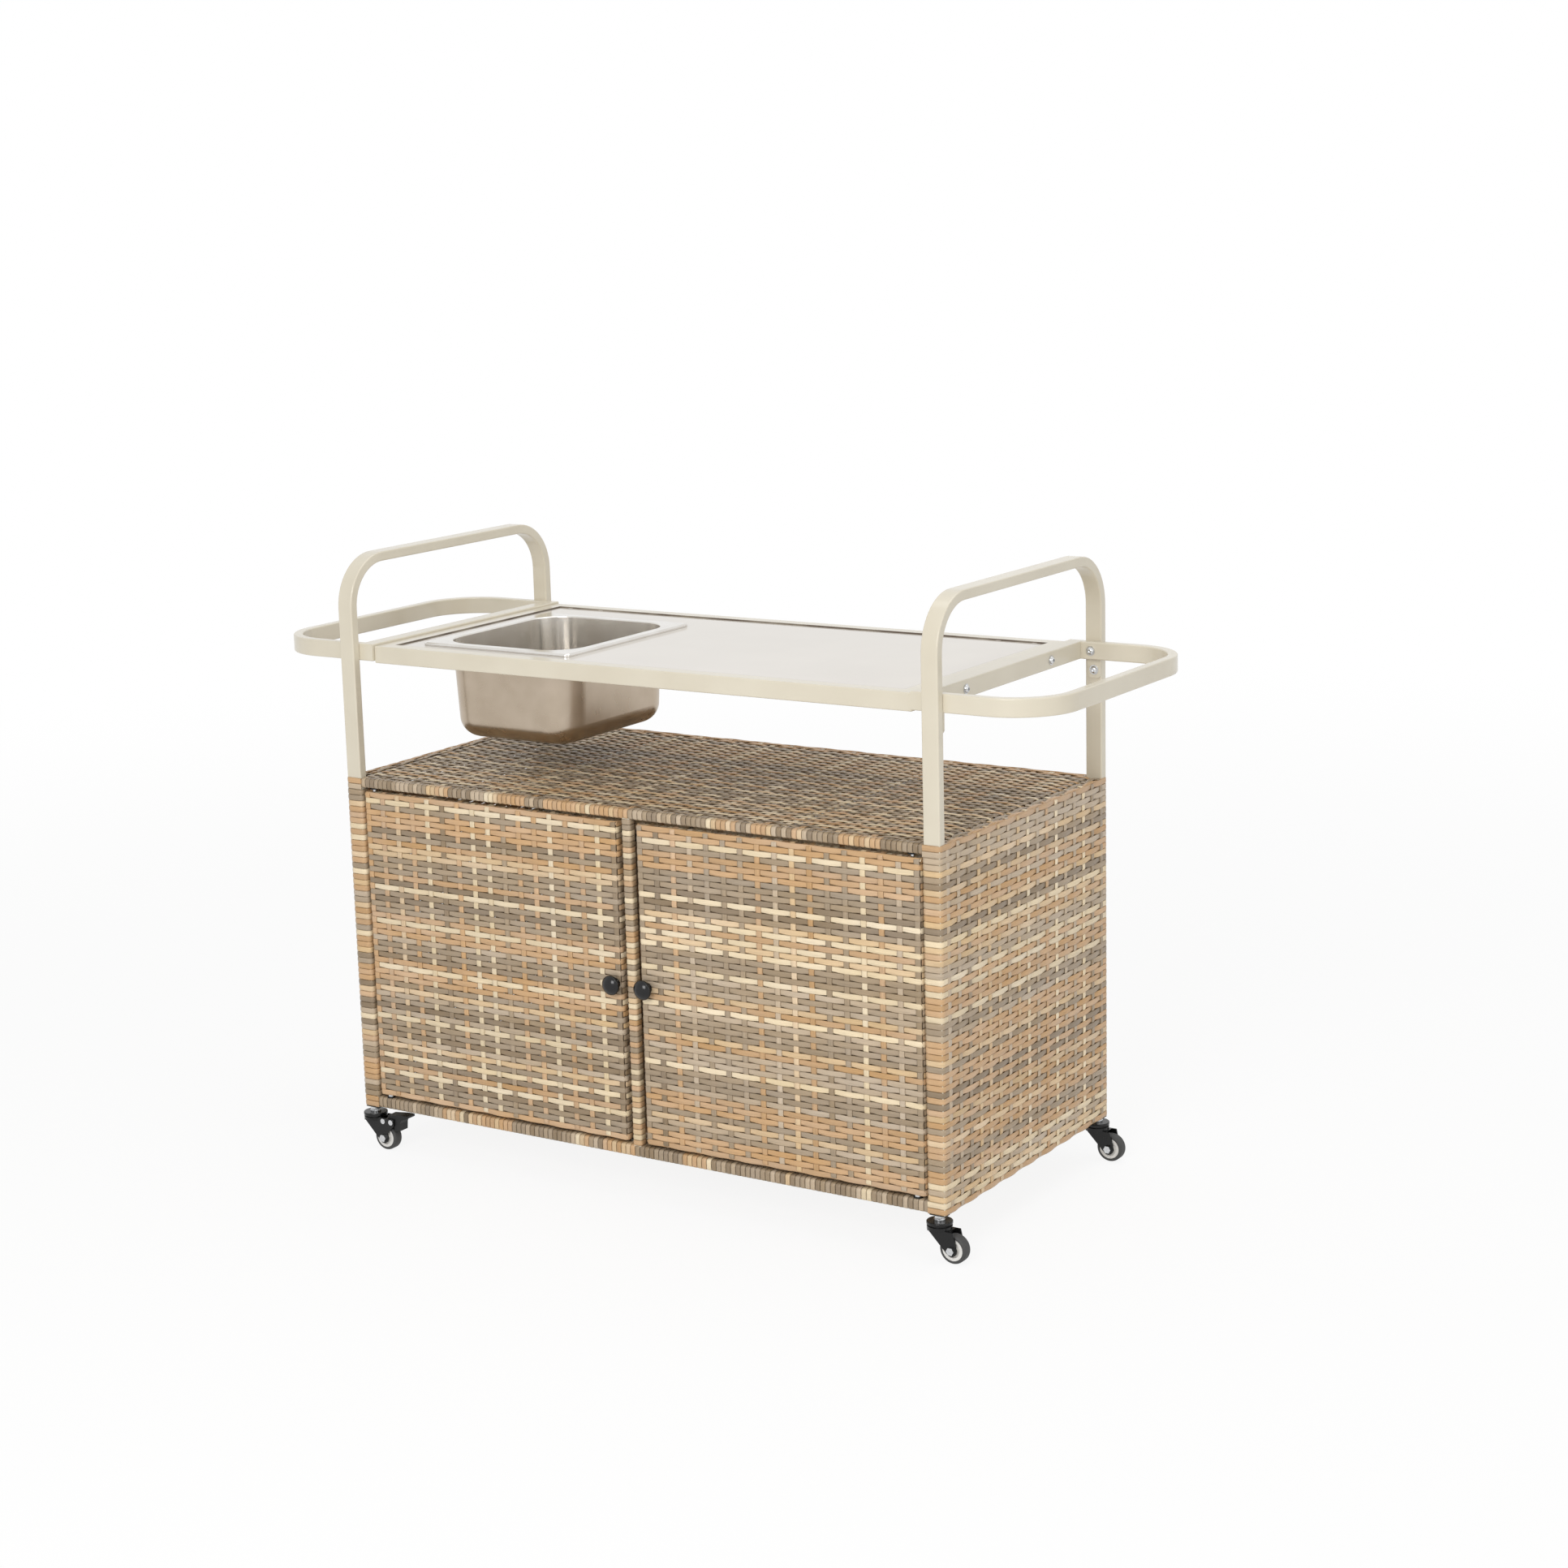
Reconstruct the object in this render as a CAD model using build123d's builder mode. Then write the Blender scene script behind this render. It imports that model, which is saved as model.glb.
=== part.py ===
from build123d import *
import os

# Rolling outdoor bar cart: two hooped end frames, a woven two-door cabinet,
# a framed serving top with a lift-out pan, two end rings and four swivel castors.
# Millimetres, +Z up, +X along the cart, doors facing -Y.
# The origin is on the floor, under the middle of the whole outline.
os.makedirs("parts", exist_ok=True)

# The whole cart
LENGTH = 1000.0
DEPTH = 480.0
HEIGHT = 895.0
FOOT = 65.0
CABINET_TOP = 570.0
POST_T = 14.0
KNOB_REACH = 20.0
DOOR_SETBACK = 0.5
RACE_R = 18.0
# The knobs stand out further than the rear castors, so the posts sit a little behind the middle
MID_Y = (KNOB_REACH - DOOR_SETBACK - (RACE_R - POST_T / 2)) / 2
FRONT = MID_Y - DEPTH / 2
BACK = MID_Y + DEPTH / 2
SIDES = {"left": -1, "right": 1}

# Flat steel tube of the hoops and rings
TUBE_W = 25.0
TUBE_T = POST_T
TUBE_WALL = 1.2
TUBE_ROUND = 2.0
HOOP_X = LENGTH / 2 - TUBE_W / 2
HOOP_BEND = 69.0
POST_INNER_X = LENGTH / 2 - TUBE_W
DRAIN_R = 2.5

# Welded cabinet rails and the weave over them
RAIL = 12.0
RAIL_WALL = 1.0
SKIN = 1.6
SLAB = 3.6
SKIN_ROUND = 3.0
WRAP = 1.5
TOP_RAIL_H = 14.0
BOTTOM_RAIL_H = 17.0
RAIL_DEPTH = RAIL + 2 * WRAP
SHELF_T = 4.0
DOORWAY_TOP = CABINET_TOP - TOP_RAIL_H
DOORWAY_BOTTOM = FOOT + BOTTOM_RAIL_H
INSIDE_X = LENGTH / 2 - (SLAB - SKIN)
INSIDE_BACK = BACK - (SLAB - SKIN)
CROSS_BAR_X = 250.0

# Serving top and its recessed panel
TABLE_HALF = 451.0
TABLE_INSET = 18.0
TABLE_DEPTH = DEPTH - 2 * TABLE_INSET
TABLE_BOTTOM = 740.0
TABLE_H = 25.0
TABLE_TOP = TABLE_BOTTOM + TABLE_H
TABLE_RAIL = 22.0
PANEL_T = 5.0
PANEL_DROP = 2.0
PANEL_GAP = 2.0
PANEL_TOP = TABLE_TOP - PANEL_DROP
PANEL_EDGE_ROUND = 0.8
LEDGE_W = 10.0
LEDGE_T = 2.0
PAD_LENGTH = 7.0
PAD_X = (-408.0, -350.0, 350.0, 408.0)

# Lift-out pan
PAN_X = -265.0
PAN_Y = MID_Y - 26.0
RIM_X = 262.0
RIM_Y = 305.0
RIM_ROUND = 8.0
RIM_H = 5.0
RIM_EDGE_ROUND = 3.0
RIM_REST = 0.2
MOUTH_ROUND = 1.8
FLANGE = 16.0
PAN_SHEET = 0.9
PAN_DEPTH = 143.0
PAN_TAPER = 3.0
PAN_CORNER = 52.0
PAN_BOTTOM_ROUND = 30.0
CUTOUT_CLEAR = 4.0

# End rings and their tabs
RING_BOTTOM = 743.0
RING_OUT = 650.0
RING_CORNER = 88.0
RING_BAR = POST_INNER_X - TABLE_HALF
TAB_W = 20.0
TAB_DROP = 28.0
TAB_T = 3.0
TAB_CORNER = 6.0
RING_BOLT_X = 490.0
RING_BOLT_Z = RING_BOTTOM + TUBE_W / 2
TAB_BOLT_Z = RING_BOTTOM - 16.0
TABLE_BOLT_SPREAD = 121.0

# Button-head bolts
BOLT_R = 2.95
BOLT_HOLE_R = 3.2
BOLT_GRIP = 6.0
HEAD_R = 5.3
HEAD_H = 3.2
CROWN_R = 2.8
HEAD_BULGE = 0.65
WASHER_R = 6.8
WASHER_T = 1.2
SOCKET_FLATS = 4.0
SOCKET_DEPTH = 2.0

# Doors
DOOR_MEET = 16.0
DOOR_HINGE_EDGE = 470.5
DOOR_BOTTOM = 87.0
DOOR_TOP = 551.0
DOOR_FACE = FRONT + DOOR_SETBACK
DOOR_T = 14.0
DOOR_BACK = DOOR_FACE + DOOR_T
DOOR_Y = DOOR_FACE + DOOR_T / 2
DOOR_SKIN = 2.0
DOOR_TUBE = 18.0
DOOR_ROUND = 4.0
DOOR_BACK_ROUND = 1.0
DOOR_AXIS_X = 455.0
PIN_R = 3.0
PIN_FIT = 0.05
PIN_IN_DOOR = 12.0
PIN_REACH = 8.0
PIN_COLLAR_R = 5.0
RUN_GAP = 0.3
BUSH_R = 4.5
BUSH_FLANGE_R = 6.5
BUSH_FLANGE_T = 1.5
BUSH_DEPTH = 10.0
KNOB_X = 27.0
KNOB_Z = 317.0
KNOB_R = 14.2
KNOB_BASE_R = 8.0
KNOB_BASE_T = 1.8
KNOB_NECK_R = 6.0
KNOB_NECK = 6.0
KNOB_BRIM = 11.0
KNOB_SHOULDER = 15.0
KNOB_SHOULDER_R = 12.8
KNOB_CROWN_R = 2.0
KNOB_HOLLOW = 0.8
KNOB_FLARE = 1.6
KNOB_EDGE_BULGE = 0.65
KNOB_CROWN_BULGE = 1.3
SCREW_R = 2.0
SCREW_IN_KNOB = 12.0
SCREW_SHORT = 1.0
SCREW_HEAD_R = 4.0
SCREW_HEAD_H = 2.2
PLATE_LENGTH = 28.0
PLATE_H = 12.0
PLATE_T = 1.2
PLATE_ROUND = 2.0
CATCH_Z = 528.0
CATCH_HALF = 46.0
CATCH_T = 12.0
CATCH_BITE = 1.0

# Swivel castors: name, place of the swivel axis and whether it has a brake
CASTOR_FRONT = FRONT + TUBE_T / 2
CASTOR_BACK = BACK - TUBE_T / 2
CASTORS = {
    "front_left": (-HOOP_X, CASTOR_FRONT, True),
    "front_right": (HOOP_X, CASTOR_FRONT, False),
    "rear_left": (-HOOP_X, CASTOR_BACK, True),
    "rear_right": (HOOP_X, CASTOR_BACK, False),
}
PLUG_DEPTH = 28.0
PLUG_FLANGE = 1.5
PLUG_CLEAR = 0.1
STEM_R = 4.0
STEM_REACH = 22.0
STEM_WASHER_R = 8.0
STEM_WASHER_T = 2.0
STEM_FLATS = 13.0
STEM_HEAD_R = 6.0
STEM_HEAD_H = 1.4
RACE_TOP = 56.0
RACE_RIM = 4.5
RACE_GROOVE_R = 15.5
RACE_STEP = 0.5
RACE_ROUND = 1.2
PLATE_TOP = 45.0
FORK_T = 2.0
FORK_GAP = 19.0
FORK_W = FORK_GAP + 2 * FORK_T
FORK_NOSE = -13.0
FORK_HEEL = 26.0
PLATE_HEEL = 19.0
WHEEL_R = 20.0
WHEEL_W = 16.0
TRAIL = 23.0
BOSS_R = 8.5
LEG_HEEL_X = 8.0
LEG_HEEL_Z = 2.0
LEG_TOE_X = 6.5
LEG_TOE_Z = 5.5
EAR_START = 12.0
EAR_SLOPE = 3.0
EAR_HALF = 5.0
EAR_ABOVE_AXLE = 8.0
AXLE_R = 3.0
AXLE_FLATS = 10.0
AXLE_HEX_H = 4.0
RIM_R = 15.4
RIM_RING_R = 11.2
RIM_RING_W = 15.0
HUB_R = 7.0
HUB_LENGTH = 17.6
RIM_WEB = 11.0
TYRE_ROUND = 3.5
PEDAL_W = 18.0
PEDAL_PIVOT_X = 38.0
PEDAL_PIVOT_Z = 46.0
PEDAL_PIN_R = 2.4
PEDAL_RIVET_R = 4.0
PEDAL_RIVET_H = 1.2
# Side view of the pedal, as steps along and up from its pivot
PEDAL_HEEL = ((-8.0, 1.0), (-7.0, 10.0))
PEDAL_PAD = ((19.0, 13.0), (30.0, 13.0), (30.0, 9.5), (18.0, 5.0))
PEDAL_NOSE = ((16.0, 0.0), (15.0, -12.0), (6.0, -13.0))
PEDAL_THROAT = ((4.0, -6.0), (-7.0, -5.5))


def save(piece, name):
    """Label a finished piece with its own name and write it out."""
    piece.part.label = name
    export_step(piece.part, f"parts/{name}.step")


def block(low, high, mode=Mode.ADD):
    """Add or cut a box given by two opposite corners."""
    with Locations(tuple((a + b) / 2 for a, b in zip(low, high))):
        Box(*(abs(b - a) for a, b in zip(low, high)), mode=mode)


def facing(x, y, z, direction):
    """A plane at a point, with its normal along the given X or Y direction."""
    across = (0, 1, 0) if direction[0] else (1, 0, 0)
    return Plane((x, y, z), x_dir=across, z_dir=direction)


def disc(plane, radius, length, mode=Mode.ADD):
    """Add or cut a round bar from a plane along its normal, or against it if negative."""
    with BuildSketch(plane) as section:
        Circle(radius)
    extrude(section.sketch, amount=length, mode=mode)


def hexagon(plane, across_flats, length, mode=Mode.ADD):
    """Add or cut a six-sided bar from a plane along its normal."""
    with BuildSketch(plane) as section:
        RegularPolygon(across_flats / 2, 6, major_radius=False)
    extrude(section.sketch, amount=length, mode=mode)


def square_tube(low, high, along):
    """A thin-walled tube between two corners, open at both ends along X or Y."""
    block(low, high)
    inset = [0 if axis == along else RAIL_WALL for axis in "XYZ"]
    bore_low = [a + w for a, w in zip(low, inset)]
    bore_high = [b - w for b, w in zip(high, inset)]
    block(bore_low, bore_high, mode=Mode.SUBTRACT)


def tube_frame(plane, width, height, rail, depth, wall):
    """A welded rectangle of hollow rails, built from a plane along its normal."""
    with BuildSketch(plane) as outline:
        Rectangle(width, height)
        Rectangle(width - 2 * rail, height - 2 * rail, mode=Mode.SUBTRACT)
    extrude(outline.sketch, amount=depth)
    with BuildSketch(plane.offset(wall)) as hollow:
        Rectangle(width - 2 * wall, height - 2 * wall)
        core = rail - wall
        Rectangle(width - 2 * core, height - 2 * core, mode=Mode.SUBTRACT)
    extrude(hollow.sketch, amount=depth - 2 * wall, mode=Mode.SUBTRACT)


def end_loop(inner, outer, depth, corner, sign, mode=Mode.ADD):
    """A rectangle between two distances from the middle, its two far corners round."""
    width = outer - inner
    with Locations((sign * (inner + outer) / 2, MID_Y)):
        RectangleRounded(width, depth, corner, mode=mode)
    with Locations((sign * (inner + width / 4), MID_Y)):
        Rectangle(width / 2, depth, mode=mode)


def button_bolt(seat, length):
    """One washer, domed head and shank, the seat plane facing out of the joint."""
    crown = WASHER_T + HEAD_H
    with BuildSketch(Plane(seat.origin, x_dir=seat.x_dir, z_dir=-seat.y_dir)) as section:
        with BuildLine():
            Polyline((0, crown), (0, -length), (BOLT_R, -length), (BOLT_R, 0), (WASHER_R, 0))
            Polyline((WASHER_R, 0), (WASHER_R, WASHER_T), (HEAD_R, WASHER_T))
            SagittaArc((HEAD_R, WASHER_T), (CROWN_R, crown), -HEAD_BULGE)
            Line((CROWN_R, crown), (0, crown))
        make_face()
    revolve(section.sketch, axis=Axis(seat.origin, seat.z_dir))
    hexagon(seat.offset(crown), SOCKET_FLATS, -SOCKET_DEPTH, mode=Mode.SUBTRACT)


def ring_bolt_seats(sign):
    """Seats of the bolts through one ring's legs, on the faces inside the ring."""
    x = sign * RING_BOLT_X
    front_leg = facing(x, FRONT + 2 * TUBE_T, RING_BOLT_Z, (0, 1, 0))
    back_leg = facing(x, BACK - 2 * TUBE_T, RING_BOLT_Z, (0, -1, 0))
    return front_leg, back_leg


def tab_bolt_seats(sign):
    """Seats of the bolts through the tabs that hang under one ring's legs."""
    x = sign * RING_BOLT_X
    front_tab = facing(x, FRONT + TUBE_T + TAB_T, TAB_BOLT_Z, (0, 1, 0))
    back_tab = facing(x, BACK - TUBE_T - TAB_T, TAB_BOLT_Z, (0, -1, 0))
    return front_tab, back_tab


def table_bolt_seats(sign):
    """Seats of the bolts through one ring's inner bar into the serving top."""
    places = (MID_Y - TABLE_BOLT_SPREAD, MID_Y + TABLE_BOLT_SPREAD)
    return [facing(sign * POST_INNER_X, y, RING_BOLT_Z, (sign, 0, 0)) for y in places]


# Bent hoops: post, arch and post in one length of tube at each end
for side, sign in SIDES.items():
    hoop_x = sign * HOOP_X
    arch_z = HEIGHT - TUBE_T / 2
    with BuildPart() as hoop:
        with BuildLine(Plane.YZ.offset(hoop_x)):
            FilletPolyline(
                (CASTOR_FRONT, FOOT),
                (CASTOR_FRONT, arch_z),
                (CASTOR_BACK, arch_z),
                (CASTOR_BACK, FOOT),
                radius=HOOP_BEND,
            )
        with BuildSketch(Plane((hoop_x, CASTOR_FRONT, FOOT))):
            RectangleRounded(TUBE_W, TUBE_T, TUBE_ROUND)
            bore_w = TUBE_W - 2 * TUBE_WALL
            bore_t = TUBE_T - 2 * TUBE_WALL
            RectangleRounded(bore_w, bore_t, TUBE_ROUND - TUBE_WALL, mode=Mode.SUBTRACT)
        sweep()
        for seat in ring_bolt_seats(sign):
            disc(seat, BOLT_HOLE_R, -TUBE_T - 2 * TUBE_WALL, mode=Mode.SUBTRACT)
        for seat in tab_bolt_seats(sign):
            disc(seat, BOLT_HOLE_R, -TAB_T - 2 * TUBE_WALL, mode=Mode.SUBTRACT)
    save(hoop, f"hoop_{side}")

# Plastic plugs in the post feet, each bored for a castor stem
with BuildPart() as post_plugs:
    for x, y, braked in CASTORS.values():
        with BuildSketch(Plane((x, y, FOOT - PLUG_FLANGE))):
            RectangleRounded(TUBE_W, TUBE_T, TUBE_ROUND)
        extrude(amount=PLUG_FLANGE)
        with BuildSketch(Plane((x, y, FOOT))):
            slack = 2 * (TUBE_WALL + PLUG_CLEAR)
            RectangleRounded(TUBE_W - slack, TUBE_T - slack, TUBE_ROUND)
        extrude(amount=PLUG_DEPTH)
        stem_hole = Plane((x, y, FOOT - PLUG_FLANGE))
        disc(stem_hole, STEM_R + PIN_FIT, PLUG_FLANGE + PLUG_DEPTH, mode=Mode.SUBTRACT)
save(post_plugs, "post_plugs")

# Front frame: two rails and the stile between the doors, welded in one piece
rail_front = FRONT + WRAP
rail_back = rail_front + RAIL
stile_low = DOORWAY_BOTTOM - WRAP
stile_high = DOORWAY_TOP + WRAP
DOOR_AXES = [(sign * DOOR_AXIS_X, DOOR_Y) for sign in SIDES.values()]
with BuildPart() as front_frame:
    block((-RAIL / 2, rail_front, stile_low), (RAIL / 2, rail_back, stile_high))
    for low, high in ((FOOT + WRAP, stile_low), (stile_high, CABINET_TOP - WRAP)):
        square_tube((-POST_INNER_X, rail_front, low), (POST_INNER_X, rail_back, high), "X")
    bore = RAIL / 2 - RAIL_WALL
    bore_low = stile_low - 2 * RAIL_WALL
    bore_high = stile_high + 2 * RAIL_WALL
    bore_front = rail_front + RAIL_WALL
    bore_back = rail_back - RAIL_WALL
    block((-bore, bore_front, bore_low), (bore, bore_back, bore_high), mode=Mode.SUBTRACT)
    for x, y in DOOR_AXES:
        top_hole = Plane((x, y, DOORWAY_TOP))
        bottom_hole = Plane((x, y, DOORWAY_BOTTOM))
        hole_depth = WRAP + 2 * RAIL_WALL
        disc(top_hole, BUSH_R + PIN_FIT, hole_depth, mode=Mode.SUBTRACT)
        disc(bottom_hole, BUSH_R + PIN_FIT, -hole_depth, mode=Mode.SUBTRACT)
save(front_frame, "front_frame")

# Rails behind the weave at the back and the ends, and bars under the shelf and the floor
shelf_under = CABINET_TOP - SHELF_T
floor_under = DOORWAY_BOTTOM - SHELF_T
RAIL_LEVELS = ((floor_under - RAIL, floor_under), (shelf_under - RAIL, shelf_under))
rear_rail_front = INSIDE_BACK - RAIL
with BuildPart() as rear_rails:
    for low, high in RAIL_LEVELS:
        square_tube((-POST_INNER_X, rear_rail_front, low), (POST_INNER_X, INSIDE_BACK, high), "X")
save(rear_rails, "rear_rails")

with BuildPart() as side_rails:
    for low, high in RAIL_LEVELS:
        for outer, inner in ((-INSIDE_X, -INSIDE_X + RAIL), (INSIDE_X - RAIL, INSIDE_X)):
            square_tube((outer, FRONT + TUBE_T, low), (inner, BACK - TUBE_T, high), "Y")
save(side_rails, "side_rails")

with BuildPart() as cross_bars:
    for low, high in RAIL_LEVELS:
        for x in (-CROSS_BAR_X, CROSS_BAR_X):
            bar_low = (x - RAIL / 2, FRONT + RAIL_DEPTH, low)
            square_tube(bar_low, (x + RAIL / 2, rear_rail_front, high), "Y")
save(cross_bars, "cross_bars")

# Strand wrapping round the front rails and the stile
for name, low, high in (
    ("front_top_wrap", DOORWAY_TOP, CABINET_TOP),
    ("front_bottom_wrap", FOOT, DOORWAY_BOTTOM),
):
    with BuildPart() as rail_wrap:
        block((-POST_INNER_X, FRONT, low), (POST_INNER_X, FRONT + RAIL_DEPTH, high))
        fillet(rail_wrap.edges().filter_by(Axis.X), SKIN_ROUND)
        core_low = (-POST_INNER_X, rail_front, low + WRAP)
        block(core_low, (POST_INNER_X, rail_back, high - WRAP), mode=Mode.SUBTRACT)
        core_low = (-RAIL / 2, rail_front, stile_low)
        block(core_low, (RAIL / 2, rail_back, stile_high), mode=Mode.SUBTRACT)
        for x, y in DOOR_AXES:
            hole = Plane((x, y, DOORWAY_BOTTOM - WRAP))
            disc(hole, BUSH_R + PIN_FIT, stile_high - stile_low, mode=Mode.SUBTRACT)
    save(rail_wrap, name)

with BuildPart() as stile_wrap:
    wrap_half = RAIL / 2 + WRAP
    block((-wrap_half, FRONT, DOORWAY_BOTTOM), (wrap_half, FRONT + RAIL_DEPTH, DOORWAY_TOP))
    fillet(stile_wrap.edges().filter_by(Axis.Z), SKIN_ROUND)
    core_low = (-RAIL / 2, rail_front, DOORWAY_BOTTOM)
    block(core_low, (RAIL / 2, rail_back, DOORWAY_TOP), mode=Mode.SUBTRACT)
save(stile_wrap, "stile_wrap")

# Woven ends: a panel that wraps round the front and back posts of its hoop
for side, sign in SIDES.items():
    outer_x = sign * (LENGTH / 2 + SKIN)
    post_x = sign * POST_INNER_X
    return_x = sign * (POST_INNER_X - WRAP)
    with BuildPart() as side_weave:
        block((post_x, FRONT - SKIN, FOOT), (outer_x, BACK + SKIN, CABINET_TOP))
        uprights = side_weave.edges().filter_by(Axis.Z)
        fillet(uprights.sort_by(lambda edge: abs(edge.center().X))[-2:], SKIN_ROUND)
        block((post_x, FRONT, FOOT), (sign * LENGTH / 2, BACK, CABINET_TOP), mode=Mode.SUBTRACT)
        panel_low = (sign * INSIDE_X, FRONT + TUBE_T, FOOT)
        block(panel_low, (sign * LENGTH / 2, BACK - TUBE_T, CABINET_TOP))
        return_low = (return_x, FRONT - SKIN, DOORWAY_BOTTOM)
        block(return_low, (post_x, FRONT + TUBE_T, DOORWAY_TOP))
    save(side_weave, f"side_weave_{side}")

with BuildPart() as back_weave:
    block((-POST_INNER_X, INSIDE_BACK, FOOT), (POST_INNER_X, BACK + SKIN, CABINET_TOP))
save(back_weave, "back_weave")

# Woven shelf on top of the cabinet and the floor inside, notched round the back posts
for name, top in (("shelf_weave", CABINET_TOP), ("floor_weave", DOORWAY_BOTTOM)):
    with BuildPart() as slab:
        block((-INSIDE_X, FRONT + RAIL_DEPTH, top - SHELF_T), (INSIDE_X, INSIDE_BACK, top))
        for sign in SIDES.values():
            notch_low = (sign * POST_INNER_X, BACK - TUBE_T, top - SHELF_T)
            block(notch_low, (sign * INSIDE_X, INSIDE_BACK, top), mode=Mode.SUBTRACT)
    save(slab, name)

# Serving top: a welded tube frame with a ledge that carries the panel
panel_x = TABLE_HALF - TABLE_RAIL - PANEL_GAP
panel_y = TABLE_DEPTH / 2 - TABLE_RAIL - PANEL_GAP
with BuildPart() as table_frame:
    with BuildSketch(Plane((0, MID_Y, TABLE_BOTTOM))):
        Rectangle(2 * TABLE_HALF, TABLE_DEPTH)
    extrude(amount=TABLE_H)
    fillet(table_frame.edges(), TUBE_ROUND)
    opening_x = TABLE_HALF - TABLE_RAIL
    opening_y = TABLE_DEPTH / 2 - TABLE_RAIL
    opening_low = (-opening_x, MID_Y - opening_y, TABLE_BOTTOM)
    block(opening_low, (opening_x, MID_Y + opening_y, TABLE_TOP), mode=Mode.SUBTRACT)
    with BuildSketch(Plane((0, MID_Y, TABLE_BOTTOM + TUBE_WALL))):
        Rectangle(2 * (TABLE_HALF - TUBE_WALL), TABLE_DEPTH - 2 * TUBE_WALL)
        Rectangle(2 * (opening_x + TUBE_WALL), 2 * (opening_y + TUBE_WALL), mode=Mode.SUBTRACT)
    extrude(amount=TABLE_H - 2 * TUBE_WALL, mode=Mode.SUBTRACT)
    with BuildSketch(Plane((0, MID_Y, PANEL_TOP - PANEL_T))):
        Rectangle(2 * opening_x, 2 * opening_y)
        Rectangle(2 * (opening_x - LEDGE_W), 2 * (opening_y - LEDGE_W), mode=Mode.SUBTRACT)
    extrude(amount=-LEDGE_T)
    for sign in SIDES.values():
        for seat in table_bolt_seats(sign):
            disc(seat, BOLT_HOLE_R, -RING_BAR - 2 * TUBE_WALL, mode=Mode.SUBTRACT)
        drain = Plane((sign * (TABLE_HALF - TABLE_RAIL / 2), MID_Y, TABLE_BOTTOM))
        disc(drain, DRAIN_R, 2 * TUBE_WALL, mode=Mode.SUBTRACT)
save(table_frame, "table_frame")

pan_x = RIM_X - 2 * FLANGE
pan_y = RIM_Y - 2 * FLANGE
with BuildPart() as table_panel:
    with BuildSketch(Plane((0, MID_Y, PANEL_TOP - PANEL_T))):
        Rectangle(2 * panel_x, 2 * panel_y)
    extrude(amount=PANEL_T)
    with BuildSketch(Plane((PAN_X, PAN_Y, PANEL_TOP - PANEL_T))):
        cutout_x = pan_x + 2 * CUTOUT_CLEAR
        cutout_y = pan_y + 2 * CUTOUT_CLEAR
        RectangleRounded(cutout_x, cutout_y, PAN_CORNER + CUTOUT_CLEAR)
    extrude(amount=PANEL_T, mode=Mode.SUBTRACT)
    fillet(table_panel.faces().sort_by(Axis.Z)[-1].edges(), PANEL_EDGE_ROUND)
save(table_panel, "table_panel")

with BuildPart() as panel_pads:
    for x in PAD_X:
        for edge in (-1, 1):
            pad_low = (x - PAD_LENGTH / 2, MID_Y + edge * panel_y, PANEL_TOP - PANEL_T)
            pad_high = (x + PAD_LENGTH / 2, MID_Y + edge * (panel_y + PANEL_GAP), PANEL_TOP)
            block(pad_low, pad_high)
save(panel_pads, "panel_pads")

# Lift-out pan: a tapered sheet tub with a flat flange, whose rim is rolled down at its edge
rim_top = PANEL_TOP + RIM_H


def tub(inset):
    """The tapered tub of the pan, shrunk on all sides by the inset."""
    with BuildPart() as shape:
        with BuildSketch(Plane((PAN_X, PAN_Y, rim_top), x_dir=(1, 0, 0), z_dir=(0, 0, -1))):
            RectangleRounded(pan_x - 2 * inset, pan_y - 2 * inset, PAN_CORNER - inset)
        extrude(amount=PAN_DEPTH - inset, taper=PAN_TAPER)
        fillet(shape.faces().sort_by(Axis.Z)[0].edges(), PAN_BOTTOM_ROUND - inset)
    return shape.part


def rim_slab(inset):
    """A slab with the rim's rolled edge, shrunk by the inset at the top and all round."""
    with BuildPart() as shape:
        with BuildSketch(Plane((PAN_X, PAN_Y, rim_top - RIM_H + RIM_REST))):
            RectangleRounded(RIM_X - 2 * inset, RIM_Y - 2 * inset, RIM_ROUND - inset)
        extrude(amount=RIM_H - RIM_REST - inset)
        fillet(shape.faces().sort_by(Axis.Z)[-1].edges(), RIM_EDGE_ROUND - inset)
    return shape.part


outer_tub = tub(0)
inner_tub = tub(PAN_SHEET)
outer_rim = rim_slab(0)
inner_rim = rim_slab(PAN_SHEET)
with BuildPart() as ice_pan:
    add(outer_rim)
    add(inner_rim, mode=Mode.SUBTRACT)
    add(outer_tub)
    add(inner_tub, mode=Mode.SUBTRACT)
    rim_face = ice_pan.faces().filter_by(Axis.Z).sort_by(Axis.Z)[-1]
    fillet(rim_face.inner_wires()[0].edges(), MOUTH_ROUND)
save(ice_pan, "ice_pan")

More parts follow.
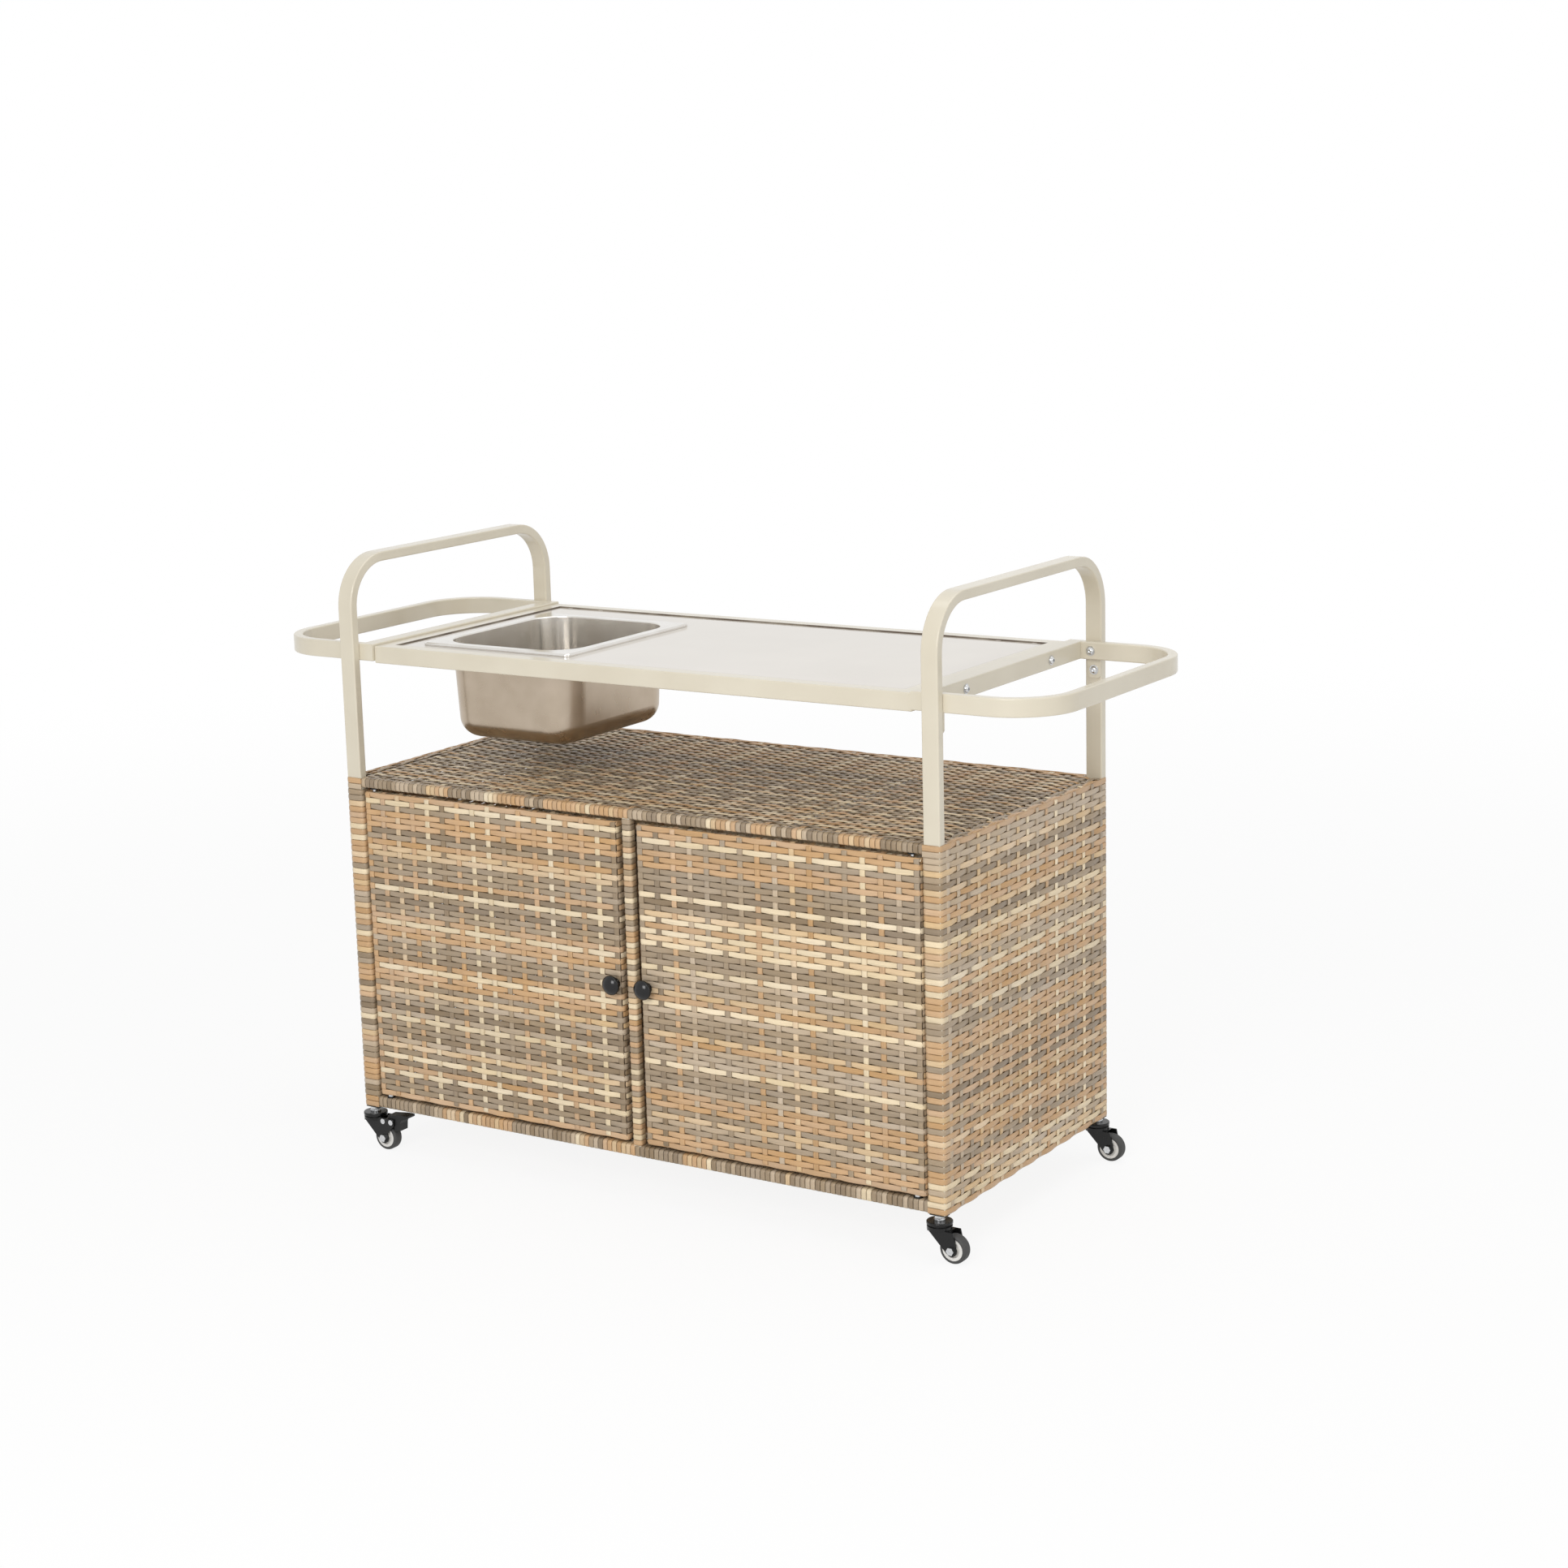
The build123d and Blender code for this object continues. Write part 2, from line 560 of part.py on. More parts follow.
# End rings: a bent tube closed by a bar along the serving top, with a tab at each post
ring_front = FRONT + TUBE_T
ring_back = BACK - TUBE_T
ring_depth = ring_back - ring_front
hole_out = RING_OUT - TUBE_T
hole_depth = ring_depth - 2 * TUBE_T
hole_corner = RING_CORNER - TUBE_T
for side, sign in SIDES.items():
    with BuildPart() as ring:
        with BuildSketch(Plane((0, 0, RING_BOTTOM))):
            end_loop(TABLE_HALF, RING_OUT, ring_depth, RING_CORNER, sign)
            end_loop(POST_INNER_X, hole_out, hole_depth, hole_corner, sign, Mode.SUBTRACT)
        extrude(amount=TUBE_W)
        fillet(ring.faces().filter_by(Axis.Z).edges(), TUBE_ROUND)
        wall = TUBE_WALL
        bore_in = TABLE_HALF + wall
        core_in = POST_INNER_X - wall
        core_depth = hole_depth + 2 * wall
        with BuildSketch(Plane((0, 0, RING_BOTTOM + wall))):
            end_loop(bore_in, RING_OUT - wall, ring_depth - 2 * wall, RING_CORNER - wall, sign)
            end_loop(core_in, hole_out + wall, core_depth, hole_corner + wall, sign, Mode.SUBTRACT)
        extrude(amount=TUBE_W - 2 * wall, mode=Mode.SUBTRACT)
        for y in (ring_front + TAB_T / 2, ring_back - TAB_T / 2):
            tab_low = (sign * RING_BOLT_X - TAB_W / 2, y - TAB_T / 2, RING_BOTTOM - TAB_DROP)
            tab_high = (sign * RING_BOLT_X + TAB_W / 2, y + TAB_T / 2, RING_BOTTOM + TUBE_ROUND)
            block(tab_low, tab_high)
        fillet(ring.edges().filter_by(Axis.Y).group_by(Axis.Z)[0], TAB_CORNER)
        for seat in ring_bolt_seats(sign):
            disc(seat, BOLT_HOLE_R, -TUBE_T, mode=Mode.SUBTRACT)
        for seat in tab_bolt_seats(sign):
            disc(seat, BOLT_HOLE_R, -TAB_T, mode=Mode.SUBTRACT)
        for seat in table_bolt_seats(sign):
            disc(seat, BOLT_HOLE_R, -RING_BAR, mode=Mode.SUBTRACT)
        drain = Plane((sign * (RING_OUT - TUBE_T / 2), MID_Y, RING_BOTTOM))
        disc(drain, DRAIN_R, 2 * TUBE_WALL, mode=Mode.SUBTRACT)
    save(ring, f"ring_{side}")

# Bolts of the rings: legs to posts, tabs to posts, inner bars to the serving top
for name, seats, grip in (
    ("ring_post_bolts", ring_bolt_seats, TUBE_T),
    ("ring_tab_bolts", tab_bolt_seats, TAB_T),
    ("ring_table_bolts", table_bolt_seats, RING_BAR),
):
    with BuildPart() as bolts:
        for sign in SIDES.values():
            for seat in seats(sign):
                button_bolt(seat, grip + TUBE_WALL + BOLT_GRIP)
    save(bolts, name)

# Doors: a tube frame in a woven cover, turning on a pin above and a pin below
door_w = DOOR_HINGE_EDGE - DOOR_MEET
door_h = DOOR_TOP - DOOR_BOTTOM
door_z = (DOOR_TOP + DOOR_BOTTOM) / 2
for side, sign in SIDES.items():
    door_x = sign * (DOOR_HINGE_EDGE + DOOR_MEET) / 2
    axis_x = sign * DOOR_AXIS_X
    knob_x = sign * KNOB_X
    pin_top = Plane((axis_x, DOOR_Y, DOOR_TOP))
    pin_bottom = Plane((axis_x, DOOR_Y, DOOR_BOTTOM))
    knob_seat = facing(knob_x, DOOR_FACE, KNOB_Z, (0, -1, 0))
    screw_seat = facing(knob_x, DOOR_BACK, KNOB_Z, (0, 1, 0))

    with BuildPart() as door_frame:
        frame_plane = facing(door_x, DOOR_FACE + DOOR_SKIN, door_z, (0, 1, 0))
        frame_w = door_w - 2 * DOOR_SKIN
        frame_h = door_h - 2 * DOOR_SKIN
        tube_frame(frame_plane, frame_w, frame_h, DOOR_TUBE, DOOR_T - DOOR_SKIN, RAIL_WALL)
        for hole, depth in ((pin_top, -1), (pin_bottom, 1)):
            reach = depth * (DOOR_SKIN + 2 * RAIL_WALL)
            disc(hole, PIN_R + PIN_FIT, reach, mode=Mode.SUBTRACT)
        disc(screw_seat, SCREW_R + PIN_FIT, -DOOR_T, mode=Mode.SUBTRACT)
    save(door_frame, f"{side}_door_frame")

    with BuildPart() as door_weave:
        with Locations((door_x, DOOR_Y, door_z)):
            Box(door_w, DOOR_T, door_h)
        face_edges = door_weave.faces().sort_by(Axis.Y)[0].edges()
        fillet(face_edges + door_weave.edges().filter_by(Axis.Y), DOOR_ROUND)
        fillet(door_weave.faces().sort_by(Axis.Y)[-1].edges(), DOOR_BACK_ROUND)
        with BuildSketch(frame_plane):
            Rectangle(frame_w, frame_h)
        extrude(amount=DOOR_T, mode=Mode.SUBTRACT)
        for hole, depth in ((pin_top, -DOOR_SKIN), (pin_bottom, DOOR_SKIN)):
            disc(hole, PIN_R + PIN_FIT, depth, mode=Mode.SUBTRACT)
        disc(knob_seat, SCREW_R + PIN_FIT, -DOOR_SKIN, mode=Mode.SUBTRACT)
    save(door_weave, f"{side}_door_weave")

    with BuildPart() as door_pins:
        inside = DOOR_SKIN + PIN_IN_DOOR
        disc(pin_top.offset(-inside), PIN_R, inside + DOORWAY_TOP - DOOR_TOP + PIN_REACH)
        disc(pin_bottom.offset(inside), PIN_R, -inside + DOORWAY_BOTTOM - DOOR_BOTTOM - PIN_REACH)
        collar_low = DOORWAY_BOTTOM + BUSH_FLANGE_T + RUN_GAP
        disc(pin_bottom, PIN_COLLAR_R, collar_low - DOOR_BOTTOM)
    save(door_pins, f"{side}_door_pins")

    with BuildPart() as knob:
        with BuildSketch(Plane((knob_x, DOOR_FACE, KNOB_Z))):
            with BuildLine():
                base = (KNOB_BASE_R, -KNOB_BASE_T)
                neck = (KNOB_NECK_R, -KNOB_NECK)
                brim = (KNOB_R, -KNOB_BRIM)
                shoulder = (KNOB_SHOULDER_R, -KNOB_SHOULDER)
                crown = (KNOB_CROWN_R, -KNOB_REACH)
                Polyline(crown, (0, -KNOB_REACH), (0, 0), (KNOB_BASE_R, 0), base)
                SagittaArc(base, neck, -KNOB_HOLLOW)
                SagittaArc(neck, brim, -KNOB_FLARE)
                SagittaArc(brim, shoulder, KNOB_EDGE_BULGE)
                SagittaArc(shoulder, crown, KNOB_CROWN_BULGE)
            make_face()
        revolve(axis=Axis((knob_x, DOOR_FACE, KNOB_Z), (0, 1, 0)))
        disc(knob_seat, SCREW_R + PIN_FIT, SCREW_IN_KNOB, mode=Mode.SUBTRACT)
    save(knob, f"{side}_knob")

    with BuildPart() as knob_screw:
        disc(screw_seat, SCREW_HEAD_R, SCREW_HEAD_H)
        fillet(knob_screw.edges().sort_by(Axis.Y)[-1], SCREW_HEAD_H / 2)
        disc(screw_seat, SCREW_R, SCREW_SHORT - DOOR_T - SCREW_IN_KNOB)
    save(knob_screw, f"{side}_knob_screw")

    with BuildPart() as strike_plate:
        plate_x = sign * (DOOR_MEET + DOOR_SKIN)
        plate_low = (plate_x, DOOR_BACK, CATCH_Z - PLATE_H / 2)
        block(plate_low, (plate_x + sign * PLATE_LENGTH, DOOR_BACK + PLATE_T, CATCH_Z + PLATE_H / 2))
        fillet(strike_plate.edges().filter_by(Axis.Y), PLATE_ROUND)
    save(strike_plate, f"{side}_strike_plate")

# Flanged bushes that carry the door pins in the rails
with BuildPart() as door_bushes:
    for x, y in DOOR_AXES:
        for z, up in ((DOORWAY_TOP, 1), (DOORWAY_BOTTOM, -1)):
            mouth = Plane((x, y, z))
            disc(mouth, BUSH_R, up * BUSH_DEPTH)
            disc(mouth, BUSH_FLANGE_R, -up * BUSH_FLANGE_T)
            through = mouth.offset(-up * BUSH_FLANGE_T)
            bore_length = up * (BUSH_DEPTH + BUSH_FLANGE_T)
            disc(through, PIN_R + PIN_FIT, bore_length, mode=Mode.SUBTRACT)
save(door_bushes, "door_bushes")

# Double magnet catch behind the stile
with BuildPart() as magnet_catch:
    catch_front = DOOR_BACK + PLATE_T + RUN_GAP
    catch_low = (-CATCH_HALF, catch_front, CATCH_Z - PLATE_H / 2)
    block(catch_low, (CATCH_HALF, catch_front + CATCH_T, CATCH_Z + PLATE_H / 2))
    fillet(magnet_catch.edges().filter_by(Axis.Y), PLATE_ROUND)
    foot_low = (-RAIL / 2, FRONT + RAIL_DEPTH, CATCH_Z - PLATE_H / 2)
    block(foot_low, (RAIL / 2, catch_front + CATCH_BITE, CATCH_Z + PLATE_H / 2))
save(magnet_catch, "magnet_catch")

# Castor stems: threaded shank, nut, washer and the riveted head under the fork
with BuildPart() as castor_stems:
    for x, y, braked in CASTORS.values():
        washer_low = RACE_TOP + RUN_GAP
        nut_low = washer_low + STEM_WASHER_T
        head_top = PLATE_TOP - FORK_T - RUN_GAP
        disc(Plane((x, y, washer_low)), STEM_WASHER_R, STEM_WASHER_T)
        hexagon(Plane((x, y, nut_low)), STEM_FLATS, FOOT - PLUG_FLANGE - nut_low)
        disc(Plane((x, y, head_top)), STEM_HEAD_R, -STEM_HEAD_H)
        disc(Plane((x, y, head_top)), STEM_R, FOOT + STEM_REACH - head_top)
save(castor_stems, "castor_stems")

# Castors: a swivelling fork that carries the wheel behind the stem, two of them with a brake
leg_outline = (
    (FORK_NOSE, PLATE_TOP),
    (FORK_HEEL, PLATE_TOP),
    (TRAIL + LEG_HEEL_X, WHEEL_R + LEG_HEEL_Z),
    (TRAIL - LEG_TOE_X, WHEEL_R - LEG_TOE_Z),
)
ear_top = PEDAL_PIVOT_Z + EAR_HALF
ear_end = PEDAL_PIVOT_X + EAR_HALF
ear_low = WHEEL_R + EAR_ABOVE_AXLE
brake_ear = (
    (EAR_START, PLATE_TOP),
    (EAR_START + EAR_SLOPE, ear_top),
    (ear_end, ear_top),
    (ear_end, PEDAL_PIVOT_Z - EAR_HALF),
    (TRAIL + LEG_HEEL_X, ear_low),
    (EAR_START, ear_low),
)
leg_in = FORK_GAP / 2
leg_out = FORK_W / 2
for name, (x, y, braked) in CASTORS.items():
    side_plane = facing(x, y, 0, (0, -1, 0))
    wheel_plane = facing(x + TRAIL, y, WHEEL_R, (0, -1, 0))
    pivot_plane = facing(x + PEDAL_PIVOT_X, y, PEDAL_PIVOT_Z, (0, -1, 0))
    spacer_plane = facing(x + TRAIL, y, PEDAL_PIVOT_Z, (0, -1, 0))
    race_top = Plane((x, y, RACE_TOP))
    race_bottom = Plane((x, y, PLATE_TOP))

    with BuildPart() as fork:
        disc(race_top, RACE_R, -RACE_RIM)
        disc(race_bottom, RACE_GROOVE_R, RACE_TOP - PLATE_TOP)
        disc(race_bottom, RACE_R - RACE_STEP, RACE_RIM)
        fillet(fork.edges().filter_by(GeomType.CIRCLE).group_by(SortBy.RADIUS)[-1], RACE_ROUND)
        plate_low = (x + FORK_NOSE, y - leg_out, PLATE_TOP - FORK_T)
        block(plate_low, (x + PLATE_HEEL, y + leg_out, PLATE_TOP))
        for leg in (leg_in, -leg_out):
            with BuildSketch(side_plane.offset(leg)):
                with BuildLine():
                    Polyline(*leg_outline, close=True)
                make_face()
                with Locations((TRAIL, WHEEL_R)):
                    Circle(BOSS_R)
                if braked:
                    with BuildLine():
                        Polyline(*brake_ear, close=True)
                    make_face()
            extrude(amount=FORK_T)
        stem_bore = PLATE_TOP - FORK_T - RACE_TOP
        disc(race_top, STEM_R + PIN_FIT, stem_bore, mode=Mode.SUBTRACT)
        disc(wheel_plane.offset(-leg_out), AXLE_R + PIN_FIT, FORK_W, mode=Mode.SUBTRACT)
        if braked:
            for plane in (pivot_plane, spacer_plane):
                disc(plane.offset(-leg_out), PEDAL_PIN_R + PIN_FIT, FORK_W, mode=Mode.SUBTRACT)
    save(fork, f"{name}_castor_fork")

    with BuildPart() as axle:
        disc(wheel_plane.offset(-leg_out), AXLE_R, FORK_W)
        hexagon(wheel_plane.offset(leg_out), AXLE_FLATS, AXLE_HEX_H)
        hexagon(wheel_plane.offset(-leg_out), AXLE_FLATS, -AXLE_HEX_H)
    save(axle, f"{name}_castor_axle")

    with BuildPart() as rim:
        for radius, width in ((HUB_R, HUB_LENGTH), (RIM_R, RIM_WEB)):
            disc(wheel_plane.offset(-width / 2), radius, width)
        for face in (RIM_WEB / 2, -RIM_RING_W / 2):
            with BuildSketch(wheel_plane.offset(face)):
                Circle(RIM_R)
                Circle(RIM_RING_R, mode=Mode.SUBTRACT)
            extrude(amount=(RIM_RING_W - RIM_WEB) / 2)
        disc(wheel_plane.offset(-HUB_LENGTH / 2), AXLE_R + PIN_FIT, HUB_LENGTH, mode=Mode.SUBTRACT)
    save(rim, f"{name}_castor_rim")

    with BuildPart() as tyre:
        with BuildSketch(wheel_plane.offset(-WHEEL_W / 2)):
            Circle(WHEEL_R)
            Circle(RIM_R, mode=Mode.SUBTRACT)
        extrude(amount=WHEEL_W)
        fillet(tyre.edges().filter_by(GeomType.CIRCLE).group_by(SortBy.RADIUS)[-1], TYRE_ROUND)
    save(tyre, f"{name}_castor_tyre")

    if braked:
        with BuildPart() as brake_pedal:
            with BuildSketch(pivot_plane.offset(-PEDAL_W / 2)):
                with BuildLine():
                    Polyline(*PEDAL_HEEL, *PEDAL_PAD, *PEDAL_NOSE, *PEDAL_THROAT, close=True)
                make_face()
            extrude(amount=PEDAL_W)
            bore = pivot_plane.offset(-PEDAL_W / 2)
            disc(bore, PEDAL_PIN_R + PIN_FIT, PEDAL_W, mode=Mode.SUBTRACT)
        save(brake_pedal, f"{name}_brake_pedal")

        with BuildPart() as brake_rivets:
            for plane in (pivot_plane, spacer_plane):
                disc(plane.offset(-leg_out), PEDAL_PIN_R, FORK_W)
                disc(plane.offset(leg_out), PEDAL_RIVET_R, PEDAL_RIVET_H)
                disc(plane.offset(-leg_out), PEDAL_RIVET_R, -PEDAL_RIVET_H)
        save(brake_rivets, f"{name}_brake_rivets")
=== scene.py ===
# %% [markdown]
# # An outdoor bar cart
# The cart is bent steel tube, woven plastic strand, a gloss panel, a steel pan and castors.
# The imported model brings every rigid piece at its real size. This lesson gives each piece its
# finish, and weaves real strands where the model has plain panels.

# %% Load the frame
import math
import random

import bpy
from mathutils import Matrix, Vector


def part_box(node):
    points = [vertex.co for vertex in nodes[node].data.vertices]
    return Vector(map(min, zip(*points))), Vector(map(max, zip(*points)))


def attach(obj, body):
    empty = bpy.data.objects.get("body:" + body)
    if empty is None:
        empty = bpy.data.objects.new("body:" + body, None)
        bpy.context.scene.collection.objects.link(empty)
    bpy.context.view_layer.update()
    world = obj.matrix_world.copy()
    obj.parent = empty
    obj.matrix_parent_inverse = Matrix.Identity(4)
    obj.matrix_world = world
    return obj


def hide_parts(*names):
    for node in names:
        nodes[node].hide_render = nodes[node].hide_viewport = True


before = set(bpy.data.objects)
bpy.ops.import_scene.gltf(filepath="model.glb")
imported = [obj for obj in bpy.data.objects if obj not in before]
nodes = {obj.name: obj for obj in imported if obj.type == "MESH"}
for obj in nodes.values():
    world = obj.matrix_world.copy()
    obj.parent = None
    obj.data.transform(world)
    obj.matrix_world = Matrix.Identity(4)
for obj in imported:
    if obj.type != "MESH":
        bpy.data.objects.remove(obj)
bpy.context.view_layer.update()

MM = 0.001
print("pieces in the frame:", len(nodes))

# %% [markdown]
# ## Small helpers
# Colours are written as sRGB hex values, as a paint chart gives them, and one function turns them
# to the linear values that shaders use. Another adds one node to any tree, sets its inputs and
# links it, so that each tree below reads as a list of what it does. An input can be a plain value,
# an output of another node, or another node, which then gives its first output.

# %% Colour and node helpers


def linear(hex_colour):
    """An sRGB hex colour as linear RGBA."""
    channels = [int(hex_colour[i:i + 2], 16) / 255 for i in (1, 3, 5)]
    curve = [c / 12.92 if c <= 0.04045 else ((c + 0.055) / 1.055) ** 2.4 for c in channels]
    return (*curve, 1.0)


def add(tree, kind, inputs=None, stops=(), blend="LINEAR", **settings):
    """Add a node with its settings, inputs and links; stops are a ramp's (place, colour) pairs."""
    made = tree.nodes.new(kind)
    for name, value in settings.items():
        setattr(made, name, value)
    for key, value in (inputs or {}).items():
        source = value.outputs[0] if isinstance(value, bpy.types.Node) else value
        if isinstance(source, bpy.types.NodeSocket):
            tree.links.new(source, made.inputs[key])
        else:
            made.inputs[key].default_value = source
    for index, (place, colour) in enumerate(stops):
        made.color_ramp.interpolation = blend
        elements = made.color_ramp.elements
        element = elements[index] if index < len(elements) else elements.new(place)
        element.position, element.color = place, linear(colour)
    return made


def blank_material(name):
    """A new material and its empty node tree."""
    made = bpy.data.materials.new(name)
    made.use_nodes = True
    made.node_tree.nodes.clear()
    return made, made.node_tree


def grain_size(millimetres):
    """The Scale of a Noise texture whose features are about this wide."""
    return 1 / (millimetres * MM)


# Nearly all of a Noise texture's values lie between these
NOISE_LOW, NOISE_HIGH = 0.3, 0.7
print("mid grey is", round(linear("#808080")[0], 3), "in linear light")

# %% [markdown]
# ## Powder-coated steel
# The tube is sprayed with dry paint powder and baked. The eye sees an even beige with a soft
# gloss and a clear highlight on each bend, and close up a fine orange-peel ripple. A noise of about
# a millimetre gives the ripple, and a broad one varies colour and gloss a little. A thin coat layer
# on the shader gives the clear highlight.

# %% Powder coat
POWDER_PEEL_MM = 1.4
POWDER_PEEL_DEPTH_MM = 0.4
POWDER_DRIFT_MM = 90.0

powder_coat, tree = blank_material("powder_coated_steel")
place = add(tree, "ShaderNodeTexCoord").outputs["Object"]
drift = add(tree, "ShaderNodeTexNoise", {"Vector": place, "Scale": grain_size(POWDER_DRIFT_MM)})
peel = add(tree, "ShaderNodeTexNoise", {"Vector": place, "Scale": grain_size(POWDER_PEEL_MM)})
shade = add(tree, "ShaderNodeValToRGB", {"Fac": drift},
            stops=[(NOISE_LOW, "#D3CAB6"), (NOISE_HIGH, "#DAD2BF")])
gloss = add(tree, "ShaderNodeMapRange", {"Value": drift, "To Min": 0.30, "To Max": 0.40})
relief = add(tree, "ShaderNodeBump", {
    "Height": peel, "Strength": 0.05, "Distance": POWDER_PEEL_DEPTH_MM * MM,
})
paint = add(tree, "ShaderNodeBsdfPrincipled", {
    "Base Color": shade, "Roughness": gloss, "Normal": relief, "IOR": 1.5,
    "Coat Weight": 0.5, "Coat Roughness": 0.08,
})
add(tree, "ShaderNodeOutputMaterial", {"Surface": paint})
print("made", powder_coat.name)

# %% [markdown]
# The serving panel lies a little lower than its frame, with a narrow gap all round. Little light
# gets in there, so the frame's inner faces lie in shade, and that shade is painted into the coat as
# brown, more in some places than in others. A copy of the coat is darkened where it lies inside the
# frame's opening, which is the panel's outline plus the gap.

# %% Powder coat with painted shade in the recess round the panel
RECESS_GAP_MM = 2.3
RECESS_DEPTH_MM = 2.4
SHADE_DRIFT_MM = 60.0
# The colour of the painted shade, in the panel's recess and behind the doors' strands
PAINTED_SHADE_COAT = "#67584A"
panel_low, panel_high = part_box("table_panel")
panel_middle = (panel_low + panel_high) / 2
half_opening = (panel_high - panel_low) / 2 + Vector((RECESS_GAP_MM, RECESS_GAP_MM, 0)) * MM

recess_coat = powder_coat.copy()
recess_coat.name = "powder_coat_shaded_recess"
tree = recess_coat.node_tree
shade, paint = tree.nodes[shade.name], tree.nodes[paint.name]
place = add(tree, "ShaderNodeTexCoord").outputs["Object"]
from_middle = add(tree, "ShaderNodeVectorMath", {0: place, 1: panel_middle}, operation="SUBTRACT")
aside = add(tree, "ShaderNodeVectorMath", {0: from_middle}, operation="ABSOLUTE")
beyond = add(tree, "ShaderNodeVectorMath", {0: aside, 1: half_opening}, operation="SUBTRACT")
beyond = add(tree, "ShaderNodeSeparateXYZ", {0: beyond}).outputs
widest = add(tree, "ShaderNodeMath", {0: beyond["X"], 1: beyond["Y"]}, operation="MAXIMUM")
within = add(tree, "ShaderNodeMath", {0: widest, 1: 0.0}, operation="LESS_THAN")
height = add(tree, "ShaderNodeSeparateXYZ", {0: from_middle}).outputs["Z"]
above = add(tree, "ShaderNodeMath", {0: height, 1: -RECESS_DEPTH_MM * MM}, operation="GREATER_THAN")
recess = add(tree, "ShaderNodeMath", {0: within, 1: above}, operation="MULTIPLY")
shade_strength = add(tree, "ShaderNodeTexNoise", {"Vector": place, "Scale": grain_size(SHADE_DRIFT_MM)})
shade_strength = add(tree, "ShaderNodeMapRange", {
    "Value": shade_strength, "From Min": 0.35, "From Max": 0.6, "To Min": 0.6, "To Max": 1.0,
})
# Painted shade: inside the opening the coat turns dark brown, more in some places than in others
share = add(tree, "ShaderNodeMath", {0: recess, 1: shade_strength}, operation="MULTIPLY")
dimmed = add(tree, "ShaderNodeMixRGB", {0: share, 1: shade, 2: linear(PAINTED_SHADE_COAT)})
tree.links.new(dimmed.outputs[0], paint.inputs["Base Color"])
print("made", recess_coat.name)

# %% [markdown]
# The doors are woven over their frames, so the front of that tube lies in the dark behind the
# strands. Another copy of the coat paints that shade on that face only, as a darker brown. It goes
# by Object coordinates, which turn with the door.

# %% Powder coat with painted shade behind the doors' strands
COVERED_DEPTH_MM = 1.5
covered_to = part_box("left_door_frame")[0].y + COVERED_DEPTH_MM * MM

covered_coat = powder_coat.copy()
covered_coat.name = "powder_coat_shaded_behind_strand"
tree = covered_coat.node_tree
shade, paint = tree.nodes[shade.name], tree.nodes[paint.name]
place = add(tree, "ShaderNodeTexCoord").outputs["Object"]
depth = add(tree, "ShaderNodeSeparateXYZ", {0: place}).outputs["Y"]
covered = add(tree, "ShaderNodeMath", {0: depth, 1: covered_to}, operation="LESS_THAN")
# Painted shade: the face behind the strands is coloured dark brown
dimmed = add(tree, "ShaderNodeMixRGB", {0: covered, 1: shade, 2: linear(PAINTED_SHADE_COAT)})
tree.links.new(dimmed.outputs[0], paint.inputs["Base Color"])
print("made", covered_coat.name)

# %% [markdown]
# ## Strand of coloured polyethylene
# The weave is flat extruded plastic strand in six tones, from tan and cream to taupe. Each strand
# has one tone along its whole length, with fine grain pressed in lengthwise and slow changes of
# shade from the extruder. The weaving below writes four attributes on every strand: its tone, its
# own shade, the distance along it and the place around it. The finish reads those, so that the
# grain follows each strand wherever it bends.

# %% Plastic strand
TONES = ["#D1AB80", "#E1C49C", "#F1DDBA", "#C8B49A", "#AD997F", "#99856C"]
TAN, LIGHT_TAN, CREAM, GREIGE, GREY, TAUPE = range(len(TONES))
GRAIN_LENGTH_MM = 28.0
GRAIN_DEPTH_MM = 0.3
GRAINS_AROUND = 24.0
DRIFT_LENGTH_MM = 170.0
STRANDS_APART = 40.0

strand_plastic, tree = blank_material("woven_polyethylene_strand")
tone = add(tree, "ShaderNodeAttribute", attribute_name="tone").outputs["Fac"]
own = add(tree, "ShaderNodeAttribute", attribute_name="own_shade").outputs["Fac"]
along = add(tree, "ShaderNodeAttribute", attribute_name="along").outputs["Fac"]
around = add(tree, "ShaderNodeAttribute", attribute_name="around").outputs["Fac"]
tint = add(tree, "ShaderNodeValToRGB", {"Fac": tone}, blend="CONSTANT",
           stops=[(index / len(TONES), colour) for index, colour in enumerate(TONES)])
apart = add(tree, "ShaderNodeMath", {0: own, 1: STRANDS_APART}, operation="MULTIPLY")
long_way = add(tree, "ShaderNodeMath", {
    0: along, 1: grain_size(GRAIN_LENGTH_MM),
}, operation="MULTIPLY")
cross_way = add(tree, "ShaderNodeMath", {0: around, 1: GRAINS_AROUND}, operation="MULTIPLY")
grain_place = add(tree, "ShaderNodeCombineXYZ", {"X": long_way, "Y": cross_way, "Z": apart})
grain = add(tree, "ShaderNodeTexNoise", {"Vector": grain_place, "Scale": 1.0, "Detail": 3.0})
slow_way = add(tree, "ShaderNodeMath", {
    0: along, 1: grain_size(DRIFT_LENGTH_MM),
}, operation="MULTIPLY")
drift_place = add(tree, "ShaderNodeCombineXYZ", {"X": slow_way, "Z": apart})
drift = add(tree, "ShaderNodeTexNoise", {"Vector": drift_place, "Scale": 1.0, "Detail": 1.0})
streak = add(tree, "ShaderNodeMapRange", {
    "Value": grain, "From Min": NOISE_LOW, "From Max": NOISE_HIGH, "To Min": 0.79, "To Max": 1.09,
})
slow = add(tree, "ShaderNodeMapRange", {
    "Value": drift, "From Min": NOISE_LOW, "From Max": NOISE_HIGH, "To Min": 0.92, "To Max": 1.05,
})
level = add(tree, "ShaderNodeMapRange", {"Value": own, "To Min": 0.90, "To Max": 1.06})
bright = add(tree, "ShaderNodeMath", {0: streak, 1: slow}, operation="MULTIPLY")
bright = add(tree, "ShaderNodeMath", {0: bright, 1: level}, operation="MULTIPLY")
